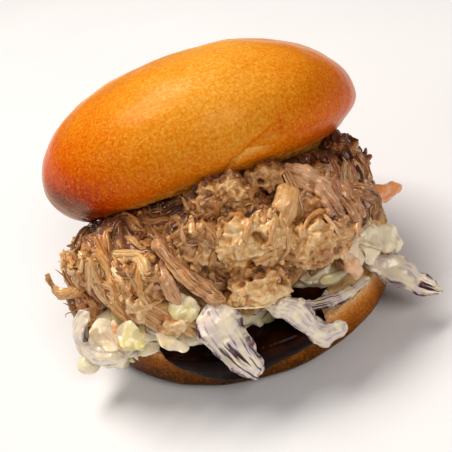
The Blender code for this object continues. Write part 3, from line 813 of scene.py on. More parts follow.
bed_slaw = make_slaw_finish("dressed_slaw_bed", 0.85)
leaf_slaw = make_slaw_finish("dressed_cabbage_and_carrot", 0.85)
carrot_slaw = make_slaw_finish("thinly_dressed_carrot", 0.25)

bed_shape = make_bed()
bed_tree = BVHTree.FromBMesh(bed_shape)
finish_piece(bed_shape, "slaw_bed", bed_slaw, "slaw", "coleslaw")

# %% [markdown]
# ## Cabbage and carrot that show one by one
#
# The shreds that hang out of the front are large enough to be told apart, so each is made along the
# route of its solid, and six petals that belong to the bed lie beside them. A cabbage strip is
# cupped across and its edges ruffle. Dressing clings to it in soft lumps, which the last push of
# its surface gives, and on three of the red shreds the veins show as dark stripes.

# %% Routes of the single pieces of slaw
FRONT = (0.0, -0.82, 0.57)
RIGHT_FRONT = (0.55, -0.60, 0.58)
LEFT_FRONT = (-0.60, -0.55, 0.58)
SLAW_PIECES = (     # name, route, widths, thicknesses (mm), facing, look, cup, ruffle (mm), slot
    ("cabbage_leaf_front",
     ((-11.5, -52, 37), (-10, -56, 32), (-7, -59.5, 23), (-4, -60.5, 16.5), (-2.5, -59.5, 12)),
     (9, 13.5, 10, 6.5, 3.4), (4, 4, 3.4, 2.8, 2.2), FRONT, (0.85, 0.1, 0.0), 1.5, 1.0, "red_cabbage"),
    ("cabbage_fold_front", ((4, -54, 32), (11, -57, 30), (14, -58, 24.5), (18, -58, 19), (25.5, -56, 17)),
     (4.5, 7.5, 6, 7.5, 7), (4, 4.5, 4.5, 4.5, 4), FRONT, (0.7, 0.0, 0.0), 0.6, 1.0, "red_cabbage"),
    ("cabbage_strip_right", ((14, -52, 26), (23, -50, 22.5), (30, -46, 20.5), (37, -42, 20)),
     (3, 3.6, 3.6, 3), (1.8, 2, 2, 1.8), (0.1, -0.5, 0.85), (0.9, 0.0, 0.0), 0.3, 0.3, "red_cabbage"),
    ("cabbage_leaf_right", ((38, -36, 22), (45, -41, 19), (51, -45, 14), (58, -47, 10.5)),
     (8, 11, 9, 3), (3, 3, 2.6, 1.6), RIGHT_FRONT, (0.7, 0.0, 0.0), 1.2, 0.8, "red_cabbage"),
    ("cabbage_curl_right", ((35, -40, 34), (41, -38, 31), (47, -35, 26), (49, -36, 22)),
     (5, 8, 8, 6), (3, 3.6, 3.6, 3), RIGHT_FRONT, (0.10, 0.25, 0.08), 1.2, 0.8, "white_cabbage"),
    ("cabbage_strip_hanging", ((30, -45, 36), (32, -47, 30), (33, -46, 24.5)),
     (4, 5, 4), (2.6, 3, 2.6), RIGHT_FRONT, (0.0, 0.2, 0.55), 0.0, 0.3, "carrot"),
    ("carrot_strip_right", ((44, -27, 37), (50, -23, 35.5), (56.5, -20, 34)),
     (5, 5.5, 4.5), (3.5, 3.6, 3.2), RIGHT_FRONT, (0.0, 0.0, 0.85), 0.0, 0.3, "carrot"),
    ("slaw_drape_left",
     ((-47, -36, 34), (-51, -37, 29), (-51.5, -38, 24), (-47, -43, 21.5), (-40, -47, 22.5)),
     (6, 6.5, 7, 8, 6), (3.4, 3.6, 4, 4, 3), LEFT_FRONT, (0.6, 0.1, 0.0), 0.6, 0.7, "red_cabbage"),
    ("cabbage_fold_centre", ((-21, -47, 38), (-18, -50, 36), (-15, -52, 33)),
     (7, 8, 6), (3, 3.4, 3), FRONT, (0.0, 0.9, 0.0), 0.8, 0.6, "white_cabbage"),
    ("petal_left_green", ((-36, -46, 34), (-35, -49, 30.5), (-32, -52, 28)),
     (5.5, 7, 4), (1.5, 1.7, 1.4), FRONT, (0.0, 0.75, 0.0), 2.2, 1.2, "slaw"),
    ("petal_left_cream", ((-44, -41, 34), (-43, -44, 29.5), (-40, -47.5, 26)),
     (6, 8, 5), (1.8, 2.2, 1.8), FRONT, (0.15, 0.2, 0.12), 2.2, 1.2, "slaw"),
    ("petal_left_orange", ((-39.5, -44, 34), (-39, -47.5, 29.5), (-38, -50, 26.5)),
     (2, 2.4, 1.8), (1.4, 1.6, 1.4), FRONT, (0.0, 0.1, 0.7), 0.2, 0.3, "slaw"),
    ("petal_front_small", ((-28, -51, 30.5), (-24, -54, 28), (-20, -56, 26)),
     (3, 3.8, 3), (1.8, 2.0, 1.8), FRONT, (0.1, 0.3, 0.1), 0.6, 1.2, "slaw"),
    ("petal_right_pink", ((30, -42, 38), (32, -44, 33), (33.5, -45, 27)),
     (7, 8.5, 7), (2.6, 3, 2.6), RIGHT_FRONT, (0.0, 0.1, 0.22), 1.0, 0.9, "slaw"),
    ("petal_right_cream", ((37, -38, 32), (38.5, -40.5, 28), (39, -40.5, 24)),
     (6, 7, 5), (2.4, 2.8, 2.4), RIGHT_FRONT, (0.3, 0.1, 0.1), 1.0, 0.9, "slaw"))


# %% Make the single pieces of slaw
def millimetre_shred(route, widths, thicks, facing, look, **more):
    """A shred whose sizes are given in millimetres."""
    return shred([mm(*p) for p in route], np.array(widths) * MM, np.array(thicks) * MM, facing, look, **more)


def lumpy_piece(mesh, size, amount, seed):
    """Push a mesh into soft lumps of dressing, in place."""
    bm = bmesh.new()
    bm.from_mesh(mesh)
    roughen(bm, size, amount, seed)
    bm.to_mesh(mesh)
    bm.free()
    return mesh


def add_stripes(mesh, low, high):
    """Darken the veins along part of a shred, from one share of its length to another."""
    fibre, look = (np.empty(3 * len(mesh.vertices), dtype=np.float32) for _ in range(2))
    mesh.attributes["fibre"].data.foreach_get("vector", fibre)
    mesh.attributes["look"].data.foreach_get("vector", look)
    fibre, look = fibre.reshape(-1, 3), look.reshape(-1, 3)
    share = fibre[:, 0] / fibre[:, 0].max()
    zone = np.clip((share - low) / 0.12, 0.0, 1.0) * np.clip((high - share) / 0.12, 0.0, 1.0)
    look[:, 0] += 1.3 * zone * np.clip(0.9 - fibre[:, 1], 0.0, 1.0)
    mesh.attributes["look"].data.foreach_set("vector", look.ravel())


STRIPED = {"cabbage_leaf_front": (0.34, 0.92), "cabbage_leaf_right": (0.6, 1.2),
           "cabbage_strip_right": (-0.2, 0.5)}
for number, (name, route, widths, thicks, facing, look, cup, ruffle, slot) in enumerate(SLAW_PIECES):
    item = millimetre_shred(route, widths, thicks, facing, look, cup=cup * MM, ruffle=ruffle * MM,
                            groove=0.06, seed=3.1 * number)
    shape = shreds_mesh("dressed_" + name, [item], 44, 70)
    if name in STRIPED:
        add_stripes(shape, *STRIPED[name])
    lumpy = 0.5 if slot == "slaw" else 1.0
    shape = lumpy_piece(lumpy_piece(shape, 5.0 * MM, lumpy * MM, number), 2.2 * MM, 0.35 * lumpy * MM, number)
    place_mesh(shape, "dressed_" + name, carrot_slaw if slot == "carrot" else leaf_slaw, slot,
               "coleslaw" if slot == "slaw" else name)

# %% A drop of dressing at the left
def make_drop(centre, half, look):
    bm = bmesh.new()
    bmesh.ops.create_icosphere(bm, subdivisions=4, radius=1.0)
    bmesh.ops.scale(bm, vec=mm(*half), verts=bm.verts[:])
    bmesh.ops.translate(bm, vec=mm(*centre), verts=bm.verts[:])
    roughen(bm, 3.0 * MM, 0.35 * MM, 5.0)
    layer = bm.verts.layers.float_vector.new("look")
    for vert in bm.verts:
        vert[layer] = look
    return bm


finish_piece(make_drop((-53.5, -38, 15.2), (3.8, 3.6, 3.4), (0.1, 0.1, 0.0)), "dressing_drop",
             bed_slaw, "slaw", "dressing_blob")

# %% [markdown]
# ## Loose shreds on the bed
#
# The rest of the slaw is many small shreds that lie on the bed's rim and stick out of it. Each one
# follows the bed below it, and some bend up at one end. Over half are white cabbage, a quarter are
# red, and the rest is carrot. None lies in front of the gap that shows the sauce.

# %% Lay shreds on the bed
CUT_NORMAL = (CROWN_STAND.to_3x3() @ Vector((0.0, 0.0, 1.0))).normalized()
CUT_PLACE = CROWN_STAND @ Vector((0.0, 0.0, 0.0))


def above_cut(place):
    """How far a place is above the crown's cut face; below it the result is negative."""
    return (place - CUT_PLACE).dot(CUT_NORMAL)


def lay_slaw(count, rng, length, width, thick, left_share=0.4):
    laid = []
    while len(laid) < count:
        at_left = rng.random() < left_share
        angle = rng.gauss(-2.35, 0.28) if at_left else rng.uniform(-math.pi, math.pi)
        reach = slaw_outline(angle) * (rng.uniform(0.88, 1.04) if at_left else rng.uniform(0.75, 1.02))
        x, y = SLAW_CENTRE[0] + reach * math.cos(angle), SLAW_CENTRE[1] + reach * math.sin(angle)
        at, normal = bed_tree.find_nearest(Vector((x, y, RIM_HEIGHT + rng.uniform(-7.0, 12.0) * MM)))[:2]
        heading = rng.uniform(0.0, math.tau)
        way = (Vector((math.cos(heading), math.sin(heading), rng.uniform(-0.4, 0.3)))).normalized()
        long = rng.uniform(*length)
        at = at - way * long * 0.5
        route = []
        lift = rng.uniform(0.4, 1.9) * MM
        for step in range(5):
            foot, normal_here = bed_tree.find_nearest(at)[:2]
            bend = (step / 4.0) ** 3 * rng.uniform(0.0, 1.6) * MM
            route.append(foot + normal_here * (lift + bend))
            at = foot + way * long / 4.0
        if any(math.hypot(p.x, p.y) > 58.0 * MM or p.z < 9.0 * MM or above_cut(p) > -2.0 * MM for p in route):
            continue
        if any(-20.0 * MM < p.x < 32.0 * MM and p.y < -50.0 * MM and p.z < 26.0 * MM for p in route):
            continue
        kind = rng.random()
        look = (0.05, rng.uniform(0.1, 0.9), 0.0) if kind < 0.55 else (rng.uniform(0.6, 1.0), 0.1, 0.0)
        look = look if kind < 0.82 else (0.0, 0.0, rng.uniform(0.6, 1.0))
        wide, deep = rng.uniform(*width), rng.uniform(*thick)
        if kind >= 0.82:
            wide *= 0.55
        laid.append(shred(route, [wide * t for t in (0.6, 1.0, 0.9, 1.0, 0.5)], [deep] * 5, normal, look,
                          cup=rng.uniform(0.0, 1.0) * MM, ruffle=rng.uniform(0.0, 0.6) * MM, groove=0.08,
                          seed=rng.uniform(0.0, 60.0)))
    return laid


dice = random.Random(5)
long_slaw = lay_slaw(95, dice, (9 * MM, 19 * MM), (3.0 * MM, 6.5 * MM), (1.4 * MM, 2.4 * MM))
finish_shreds("slaw_shreds_long", long_slaw, 14, 16, leaf_slaw, "slaw", "coleslaw")
short_slaw = lay_slaw(260, dice, (4 * MM, 10 * MM), (1.8 * MM, 3.8 * MM), (1.2 * MM, 2.2 * MM))
finish_shreds("slaw_shreds_short", short_slaw, 8, 8, leaf_slaw, "slaw", "coleslaw")

# %% [markdown]
# ## The heap of pulled pork
#
# Pork shoulder is cooked until its fibres part, then pulled with forks. What lies on the bun is a
# heap of thousands of shreds, with rough clumps where the meat broke across its grain. A heap like
# this could be dropped by a simulation, but then its outline would be left to luck. Here a core
# keeps the outline of the solid, a millimetre or two smaller, and the shreds are laid on it. It
# shows between them, so its surface is broken up as torn meat is and takes the same finish. Its
# tone carries painted shade: darker in its pits, its crevices and below the crown, lighter on knobs.

# %% Shape of the core
HEAP_CENTRE = mm(0.0, -14.0, 36.0)
HEAP_FLOOR = 22.0 * MM
HEAP_HILLS = (             # centre and half sizes in millimetres
    ((0, -10, 36), (50, 36, 24)), ((-36, -20, 41), (17, 17, 17)), ((-26, -33, 38), (15, 14, 13)),
    ((0, -34, 44), (20, 14, 15)), ((22, -30, 44), (16, 13, 13)), ((38, -6, 38), (13, 15, 11)),
    ((-20, -42, 31), (10, 7, 8)), ((-22, -2, 44), (31, 13, 17)))


def heap_reach(way):
    """How far the union of the hills reaches from the heap's centre in one direction."""
    reach = 0.0
    for hill, half in HEAP_HILLS:
        start = Vector([(HEAP_CENTRE[i] - hill[i] * MM) / (half[i] * MM) for i in range(3)])
        step = Vector([way[i] / (half[i] * MM) for i in range(3)])
        a, b, c = step.dot(step), 2.0 * start.dot(step), start.dot(start) - 1.0
        inside = b * b - 4.0 * a * c
        if inside > 0.0:
            reach = max(reach, (-b + math.sqrt(inside)) / (2.0 * a))
    return reach


def broken_relief(place, seed):
    """How far meat broken across its grain stands out at a place, and how deep in a pit it is."""
    warp = Vector([soft_noise(place, 4.0 * MM, 40.0 + 7.0 * axis + seed) for axis in range(3)]) * 1.3 * MM
    knob = 1.1 * MM * soft_noise(place + warp, 3.6 * MM, 60.0 + seed)
    grains = 0.8 * MM * (0.42 - noise.voronoi((place + warp) / (1.7 * MM))[0][0])
    ridge = 1.3 * MM * (0.30 - abs(soft_noise(place + warp, 5.0 * MM, 20.0 + seed)))
    pit = smooth_step(0.42, 0.75, soft_noise(place + 0.5 * warp, 5.0 * MM, 30.0 + seed))
    fine = 0.25 * MM * soft_noise(place, 0.9 * MM, 70.0 + seed)
    return knob + grains + ridge + fine - 1.7 * MM * pit, pit


def under_crown(place):
    """How deep a place lies in the shade below the crown, from 0 to 1."""
    reach = (CROWN_STAND.inverted() @ place).to_2d().length
    below_rim = 1.0 - smooth_step(45.0 * MM, 56.0 * MM, reach)
    near_cut = smooth_step(-14.0 * MM, -2.0 * MM, above_cut(place))
    return near_cut * below_rim * smooth_step(-50.0 * MM, -38.0 * MM, place.x)


def make_core():
    bm = bmesh.new()
    bmesh.ops.create_icosphere(bm, subdivisions=7, radius=1.0)
    layer = bm.verts.layers.float_vector.new("look")
    for vert in bm.verts:
        way = vert.co.normalized()
        place = HEAP_CENTRE + way * (heap_reach(way) - 1.6 * MM)
        relief, pit = broken_relief(place, 0.0)
        place += way * (1.4 * relief + 0.8 * MM * soft_noise(place, 9.0 * MM, 5.0))
        shade = under_crown(place)
        orange = smooth_step(0.2, 0.6, soft_noise(place, 6.0 * MM, 9.0))
        # Painted shade and light: the tone is darker in pits, in crevices and below the crown, and lighter on
        # the knobs.
        vert[layer] = (0.46 - 0.30 * pit - 0.55 * shade + 150.0 * relief, 0.25, 0.35 * orange)
        beyond = max((CROWN_STAND.inverted() @ place).to_2d().length - 39.0 * MM, 0.0)
        high = above_cut(place) + 0.1 * MM + beyond * (0.55 + 0.3 * soft_noise(place, 4.0 * MM, 2.0))
        if high > 0.0:
            place -= CUT_NORMAL * high
        place.z = max(place.z, HEAP_FLOOR)
        vert.co = place
    return bm


# %% [markdown]
# ## Finish of the meat
#
# Slow-cooked pork is a wet, fibrous surface: grey tan to pale straw, with pink from the smoke, a
# brown bark where it was outermost, and bits of orange fat. Light goes a few millimetres into it, so
# it takes some subsurface scattering, and the juices give small sharp highlights over a rough base.
# Streaks run along each shred by its fibre numbers, while clumps have none and take grain from
# their place in space. The three look numbers are tone, pink and fat, and small blots of fat lie
# on all of it. The tone also carries painted shade, set where each piece is made: darker in pits,
# crevices and gaps and below the crown.

# %% Meat material
def make_meat(name, tones, streaks):
    made, tree, shader = new_material(name)
    coord = add_node(tree, "ShaderNodeTexCoord").outputs["Object"]
    look = add_node(tree, "ShaderNodeAttribute", attribute_name="look").outputs["Vector"]
    look = add_node(tree, "ShaderNodeSeparateXYZ", {"Vector": look}).outputs
    fibre = add_node(tree, "ShaderNodeAttribute", attribute_name="fibre").outputs["Vector"]
    thread = add_node(tree, "ShaderNodeVectorMath", {0: fibre, 1: (0.22, 3.6, 7.0)},
                      operation="MULTIPLY").outputs[0]
    streak = add_node(tree, "ShaderNodeTexNoise", {"Vector": thread, "Scale": 1.0, "Detail": 3.0,
                                                   "Roughness": 0.6}).outputs["Fac"]
    grain = add_node(tree, "ShaderNodeTexNoise", {"Vector": coord, "Scale": 1.0 / (1.6 * MM), "Detail": 6.0,
                                                  "Roughness": 0.66}).outputs["Fac"]
    cloud = add_node(tree, "ShaderNodeTexNoise", {"Vector": coord, "Scale": 1.0 / (9.0 * MM),
                                                  "Detail": 2.0}).outputs["Fac"]
    pattern = add_node(tree, "ShaderNodeMix", {"Factor": streaks, "A": grain, "B": streak},
                       data_type="FLOAT").outputs[0]
    spread = add_node(tree, "ShaderNodeMath", {0: pattern, 1: 1.45, 2: -0.725},
                      operation="MULTIPLY_ADD").outputs[0]
    tone = add_node(tree, "ShaderNodeMath", {0: look["X"], 1: spread}, operation="ADD").outputs[0]
    tone = add_node(tree, "ShaderNodeMath", {0: cloud, 1: 0.30, 2: tone},
                    operation="MULTIPLY_ADD").outputs[0]
    tone = add_node(tree, "ShaderNodeMath", {0: tone, 1: 0.15}, operation="SUBTRACT").outputs[0]
    tan = add_node(tree, "ShaderNodeValToRGB", {"Fac": tone}, stops=tones).outputs["Color"]
    pink = add_node(tree, "ShaderNodeValToRGB", {"Fac": tone},
                    stops=((0.0, "#521E10"), (0.30, "#9C5C3E"), (0.55, "#CC9470"),
                           (1.0, "#F2CCA8"))).outputs["Color"]
    fat = add_node(tree, "ShaderNodeValToRGB", {"Fac": tone},
                   stops=((0.0, "#6E2F08"), (0.4, "#C4741F"), (0.7, "#E2A556"),
                          (1.0, "#F5CF8F"))).outputs["Color"]
    blend = add_node(tree, "ShaderNodeMix", {MIX_FACTOR: look["Y"], MIX_A: tan, MIX_B: pink},
                     data_type="RGBA").outputs[MIX_RESULT]
    blot = add_node(tree, "ShaderNodeTexNoise", {"Vector": coord, "Scale": 1.0 / (2.6 * MM),
                                                 "Detail": 2.0}).outputs["Fac"]
    blot = add_node(tree, "ShaderNodeMapRange", {"Value": blot, "From Min": 0.52, "From Max": 0.66,
                                                 "To Max": 0.55}).outputs[0]
    fatty = add_node(tree, "ShaderNodeMath", {0: look["Z"], 1: blot}, operation="MAXIMUM").outputs[0]
    blend = add_node(tree, "ShaderNodeMix", {MIX_FACTOR: fatty, MIX_A: blend, MIX_B: fat},
                     data_type="RGBA").outputs[MIX_RESULT]
    tree.links.new(blend, shader.inputs["Base Color"])
    relief = add_node(tree, "ShaderNodeMath", {0: grain, 1: 0.6, 2: pattern},
                      operation="MULTIPLY_ADD").outputs[0]
    lift = add_node(tree, "ShaderNodeBump", {"Height": relief, "Strength": 0.85, "Distance": 0.50 * MM})
    tree.links.new(lift.outputs["Normal"], shader.inputs["Normal"])
    wet = add_node(tree, "ShaderNodeMapRange", {"Value": cloud, "From Min": 0.35, "From Max": 0.65,
                                                "To Min": 0.62, "To Max": 0.36}).outputs[0]
    tree.links.new(wet, shader.inputs["Roughness"])
    shader.inputs["Coat Weight"].default_value = 0.80
    shader.inputs["Coat Roughness"].default_value = 0.10
    shader.inputs["Subsurface Weight"].default_value = 0.10
    shader.inputs["Subsurface Radius"].default_value = (1.0, 0.45, 0.25)
    shader.inputs["Subsurface Scale"].default_value = 1.5 * MM
    return made


TAN_TONES = ((0.0, "#4E280C"), (0.25, "#9C6830"), (0.50, "#D4A060"), (0.75, "#EEC68A"), (1.0, "#FDE6BE"))
shred_meat = make_meat("pulled_pork_shreds", TAN_TONES, 0.65)
clump_meat = make_meat("pulled_pork_broken_across", TAN_TONES, 0.0)

core_shape = make_core()
heap_tree = BVHTree.FromBMesh(core_shape)
finish_piece(core_shape, "pork_core", clump_meat, "pork", "pulled_pork")

# %% [markdown]
# ## Clumps broken across the grain
#
# Where meat breaks across its fibres it looks like torn bread: knobs, pits and ragged edges. Each
# clump is a ball pressed to its size, and its surface is built up in steps: a wide unevenness for
# its outline, knobs and ridges about four millimetres wide, grains of less than two, and a few deep
# pits. A sculpted mesh would be no better, since the eye reads only this mix of sizes. Two small
# tails fill out the tongue of meat that hangs at the front left.

# %% Make the clumps
def make_clump(centre, half, seed, look, fine):
    bm = bmesh.new()
    bmesh.ops.create_icosphere(bm, subdivisions=fine, radius=1.0)
    layer = bm.verts.layers.float_vector.new("look")
    size = min(half)
    for vert in bm.verts:
        way = vert.co.normalized()
        place = mm(*[centre[i] + half[i] * way[i] for i in range(3)])
        wide = 0.17 * size * MM * soft_noise(place, size * 0.75 * MM, 10.0 + seed)
        relief, pit = broken_relief(place, seed)
        orange = smooth_step(0.25, 0.60, soft_noise(place, 6.0 * MM, 50.0 + seed))
        vert.co = place + way * (wide + 1.15 * relief - 0.2 * MM)
        # Painted shade and light: the tone is darker in pits, in crevices and on the clump's back and sides,
        # and lighter on its knobs.
        edge = smooth_step(-0.60, -0.05, way.y)
        tone = look[0] + 0.12 - 0.25 * pit - 0.46 * edge + 160.0 * relief
        vert[layer] = (tone, look[1], look[2] + 0.5 * orange)
    return bm


# The low tones in the look column of pork_chunk_upper, pork_chunk_shaded and pork_chunk_back are painted
# shade below the crown.
PORK_CLUMPS = (            # name, centre, half sizes (mm), seed, look, slot, fineness
    ("pork_clump_centre", (6, -43, 46), (13, 8, 11), 1, (0.62, 0.0, 0.10), "pork", 6),
    ("pork_clump_low", (4, -50, 36), (10, 6, 7.5), 2, (0.62, 0.0, 0.12), "pork", 6),
    ("pork_clump_right", (22, -43, 41), (12, 7.5, 8.5), 3, (0.54, 0.1, 0.12), "pork", 6),
    ("pork_chunk_upper", (1, -34, 58), (10, 6, 7), 4, (0.42, 0.05, 0.0), "pork", 6),
    ("pork_chunk_shaded", (13, -31, 58), (8, 5, 5), 5, (0.40, 0.1, 0.0), "pork", 5),
    ("pork_chunk_back", (41, -4, 40), (9.5, 10, 9), 6, (0.26, 0.35, 0.0), "pork_dark", 6),
    ("pork_chunk_inner", (-9, -42, 49), (7, 5, 9), 7, (0.46, 0.2, 0.0), "pork", 5),
    ("pork_chunk_round", (-25, -42, 44), (4, 4.5, 6), 8, (0.55, 0.9, 0.0), "pork_pink", 5),
    ("pork_chunk_left", (-48, -30, 31), (5.5, 6.5, 6.5), 9, (0.30, 0.2, 0.1), "pork_dark", 5))

clump_trees = []
for name, centre, half, seed, look, slot, fine in PORK_CLUMPS:
    shape = make_clump(centre, half, seed, look, fine)
    clump_trees.append((BVHTree.FromBMesh(shape), mm(*centre), mm(*half), look))
    finish_piece(shape, "meat_" + name, clump_meat, slot, name)

PORK_TAILS = (((-30, -45.5, 37.5), (5, 3.4, 4.6)), ((-21.5, -51, 32.3), (5.4, 3, 3.4)))   # as above
for number, (centre, half) in enumerate(PORK_TAILS):
    shape = make_clump(centre, half, 20 + number, (0.66, 0.3, 0.2), 5)
    finish_piece(shape, "meat_tail_%d" % number, clump_meat, "pork", "pulled_pork")

# %% [markdown]
# ## Strips pulled along the grain
#
# Where the meat came away along its fibres it hangs in glossy strips. One flat ribbon would look
# like dough, so a strip is a bundle of thinner fibres round a thicker one. The fibres twist a
# little and end at different lengths, which frays the tips. Only the smooth chunk of fat is one
# broad piece. Each strip is then pushed into soft lumps.

# %% Make the strips
PORK_STRIPS = (            # name, route, widths, thicknesses (mm), facing, look, slot, fibres
    ("pork_chunk_smooth", ((20.5, -37, 57.0), (16.5, -42, 52.5), (11.0, -46.5, 46.5)),
     (6.4, 8.0, 4.8), (3.6, 5.4, 3.4), FRONT, (0.72, 0.20, 0.45), "pork_pink", 1),
    ("pork_strip_upper", ((20, -30, 59), (25, -34, 56), (30, -35, 52)), (4, 8, 7), (3, 4, 4), FRONT,
     (0.62, 0.8, 0.0), "pork_pink", 9),
    ("pork_strip_long", ((27, -34, 54), (30, -40, 48), (32, -42, 42)), (6, 7, 4), (4, 4.5, 3), FRONT,
     (0.66, 0.9, 0.0), "pork_pink", 9),
    ("pork_strip_edge", ((32, -31, 52), (36, -36, 47), (38, -39, 41)), (6, 7, 5), (4, 4.5, 4), RIGHT_FRONT,
     (0.58, 0.7, 0.0), "pork_pink", 8),
    ("pork_strand_long", ((-20, -38, 53), (-17, -44, 48), (-12, -50, 42), (-6, -54, 37)), (4, 5, 5.5, 4),
     (3, 4, 4, 3), FRONT, (0.55, 0.5, 0.0), "pork_pink", 7),
    ("pork_strand_short", ((-21, -42, 48), (-20, -47, 43), (-19, -50, 38)), (3.5, 5, 4.5), (3, 4, 3), FRONT,
     (0.60, 0.7, 0.0), "pork_pink", 6),
    ("pork_strand_tip", ((-57, -25, 43), (-56.5, -26, 39), (-54, -28, 36.5), (-49, -30, 38), (-42, -29, 41)),
     (1.6, 2.6, 4, 4.5, 4), (1.4, 2, 3, 3.5, 3), LEFT_FRONT, (0.60, 0.1, 0.35), "pork", 5),
    ("onion_curl", ((36, -33, 48), (41, -34, 46), (45, -33, 41), (43, -36, 36)), (4, 5, 5, 4),
     (2.6, 2.8, 2.8, 2.4), RIGHT_FRONT, (0.20, 0.3, 0.1), "pork_dark", 5))

dice = random.Random(11)
for name, route, widths, thicks, facing, look, slot, fibres in PORK_STRIPS:
    broad = millimetre_shred(route, widths, thicks, facing, look, seed=dice.uniform(0.0, 50.0),
                             blunt=4 if "strand" in name else 10)
    fibres = bundle(broad, fibres, dice) if fibres > 1 else [broad]
    shape = shreds_mesh("meat_" + name, fibres, 20, 34)
    shape = lumpy_piece(lumpy_piece(shape, 5.0 * MM, 1.1 * MM, 3.0), 1.8 * MM, 0.40 * MM, 7.0)
    place_mesh(shape, "meat_" + name, shred_meat, slot, name)

# %% [markdown]
# ## Shreds laid over the heap
#
# The rest of the heap is covered by four kinds of shred: broad ones split into fibres, short ones,
# crumbs of meat and thin threads. Each is laid with its route pressed onto the surface below it, so
# it bends over the knobs and dips into the gaps, and its ends may lift. A particle system could
# scatter them, but copies would then share one shape. They lie roughly downhill, with a lean one
# way at the left and the other way at the right, where they are pinker; at the left more are fat.
# A few shreds with routes of their own hang from the front left over the slaw.

# %% Find the surface and a place on it
def nearest_surface(place):
    """The nearest place and direction on the heap or on a clump that stands out of it."""
    best = heap_tree.find_nearest(place)[:2]
    gap = (best[0] - place).length
    for tree, centre, half, _ in clump_trees:
        if (place - centre).length < max(half) + 6.0 * MM:
            spot, normal, _, distance = tree.find_nearest(place)
            outside = (place - spot).dot(normal)
            if outside < 0.0 or distance < gap:
                best, gap = (spot, normal), distance
    return best


OUTSIDE = 120.0 * MM     # how far out the rays start


def start_place(rng, clump_share):
    """A random place on the visible part of the heap, by shooting a ray in to it from outside."""
    while True:
        azimuth = rng.uniform(-math.pi, 0.0) if rng.random() < 0.55 else rng.uniform(0.0, math.pi)
        if rng.random() < 0.30:
            azimuth = rng.gauss(-2.45, 0.35)
        rise = rng.uniform(-0.45, 1.2)
        level = math.cos(rise)
        way = Vector((math.cos(azimuth) * level, math.sin(azimuth) * level, math.sin(rise)))
        start = HEAP_CENTRE + Vector((way.x * 0.9, way.y * 0.9, way.z)) * OUTSIDE + mm(0, 0, -4)
        hit = heap_tree.ray_cast(start, -way)[0]
        for tree, _, _, _ in clump_trees:
            other = tree.ray_cast(start, -way)[0]
            if other and (not hit or (other - start).length < (hit - start).length):
                hit = other
        near = [(hit - centre).length < max(half) for _, centre, half, _ in clump_trees] if hit else []
        on_clump = any(near)
        if on_clump and rng.random() > clump_share:
            continue
        if hit and hit.z > HEAP_FLOOR + 1.0 * MM and above_cut(hit) < -0.2 * MM:
            return hit


def region(place):
    """Weights of the left, middle and right of the front, and of the hidden sides and back."""
    front = smooth_step(-2.0 * MM, -22.0 * MM, place.y) if place.y < -2.0 * MM else 0.0
    left = smooth_step(-16.0 * MM, -26.0 * MM, place.x) if place.x < -16.0 * MM else 0.0
    right = smooth_step(18.0 * MM, 27.0 * MM, place.x)
    return front, left, right


# %% Lay one shred
def lay_shred(rng, length, lift, bend, clump_share, points):
    """One shred laid on the heap from a random place, in the lean of its region."""
    place = start_place(rng, clump_share)
    spot, normal = nearest_surface(place)
    _, left, right = region(spot)
    downhill = Vector((0, 0, -1)) - normal * (-normal.z)
    across = normal.cross(downhill)
    if downhill.length < 0.05:
        downhill, across = Vector((0, -1, 0)), Vector((1, 0, 0))
    lean = 0.35 * right - 0.45 * left + rng.gauss(0.0, 0.95)
    way = (downhill.normalized() * math.cos(lean) + across.normalized() * math.sin(lean)).normalized()
    step = length / (points - 1)
    curl = rng.gauss(0.0, bend)
    route, at = [], spot - way * length * 0.5
    for i in range(points):
        foot, normal_here = nearest_surface(at)
        end = abs(2.0 * i / (points - 1) - 1.0)
        height = lift + end ** 3 * rng.uniform(-0.6, 1.6) * MM
        route.append(foot + normal_here * height)
        way = (way + normal_here.cross(way) * curl).normalized()
        at = foot + way * step
    return route, normal, spot


# %% Colour a shred by where it lies
def clump_gap(spot):
    """The tone of the clump a spot lies on, and how deep it lies in the gap beside one, 0 to 1."""
    own, deepest = None, 0.0
    for _, centre, half, look in clump_trees:
        away = Vector([(spot[i] - centre[i]) / half[i] for i in range(3)]).length
        if away < 1.12:
            own = look[0] + 0.08
        deepest = max(deepest, math.exp(-((away - 1.30) / 0.14) ** 2))
    return own, 0.0 if own else deepest


def meat_look(rng, spot):
    """Tone, pink and fat for a shred, by where it lies; the tone holds painted shade below the crown and in
    the gaps beside clumps.
    """
    front, left, right = region(spot)
    own, gap = clump_gap(spot)
    # Painted shade: the tone is darker below the crown and in the gaps beside clumps. It is also a little
    # darker away from the front.
    shade = under_crown(spot) * (0.4 if own else 1.0) + 0.55 * gap
    tone = (own or 0.62) + rng.gauss(0.0, 0.08 if own else 0.16) - 0.58 * shade - 0.10 * (1.0 - front)
    pink = min(max(rng.gauss(0.20 + 0.55 * right, 0.25), 0.0), 1.0)
    fat = min(max(rng.gauss(0.08 + 0.22 * left, 0.26), 0.0), 0.9)
    if rng.random() < 0.08:
        tone, fat = tone - 0.15, 0.0
    return tone, pink, fat


# %% Lay many shreds
def lay_shreds(count, rng, length, width, thick, lift, groove, bend=0.18, clump_share=0.0, points=5):
    """Many shreds with sizes between the given limits, in metres."""
    laid = []
    while len(laid) < count:
        long = rng.uniform(*length)
        route, normal, spot = lay_shred(rng, long, lift, bend, clump_share, points)
        if any(above_cut(p) > 0.1 * MM or p.z < HEAP_FLOOR - 1.5 * MM for p in route):
            continue
        wide, deep = rng.uniform(*width), rng.uniform(*thick)
        taper = [rng.uniform(0.5, 1.0), rng.uniform(0.8, 1.2), 1.0, rng.uniform(0.7, 1.2),
                 rng.uniform(0.4, 1.0)]
        laid.append(shred(route, [wide * t for t in taper], [deep * t for t in taper], normal,
                          meat_look(rng, spot), groove=groove, seed=rng.uniform(0.0, 60.0)))
    return laid


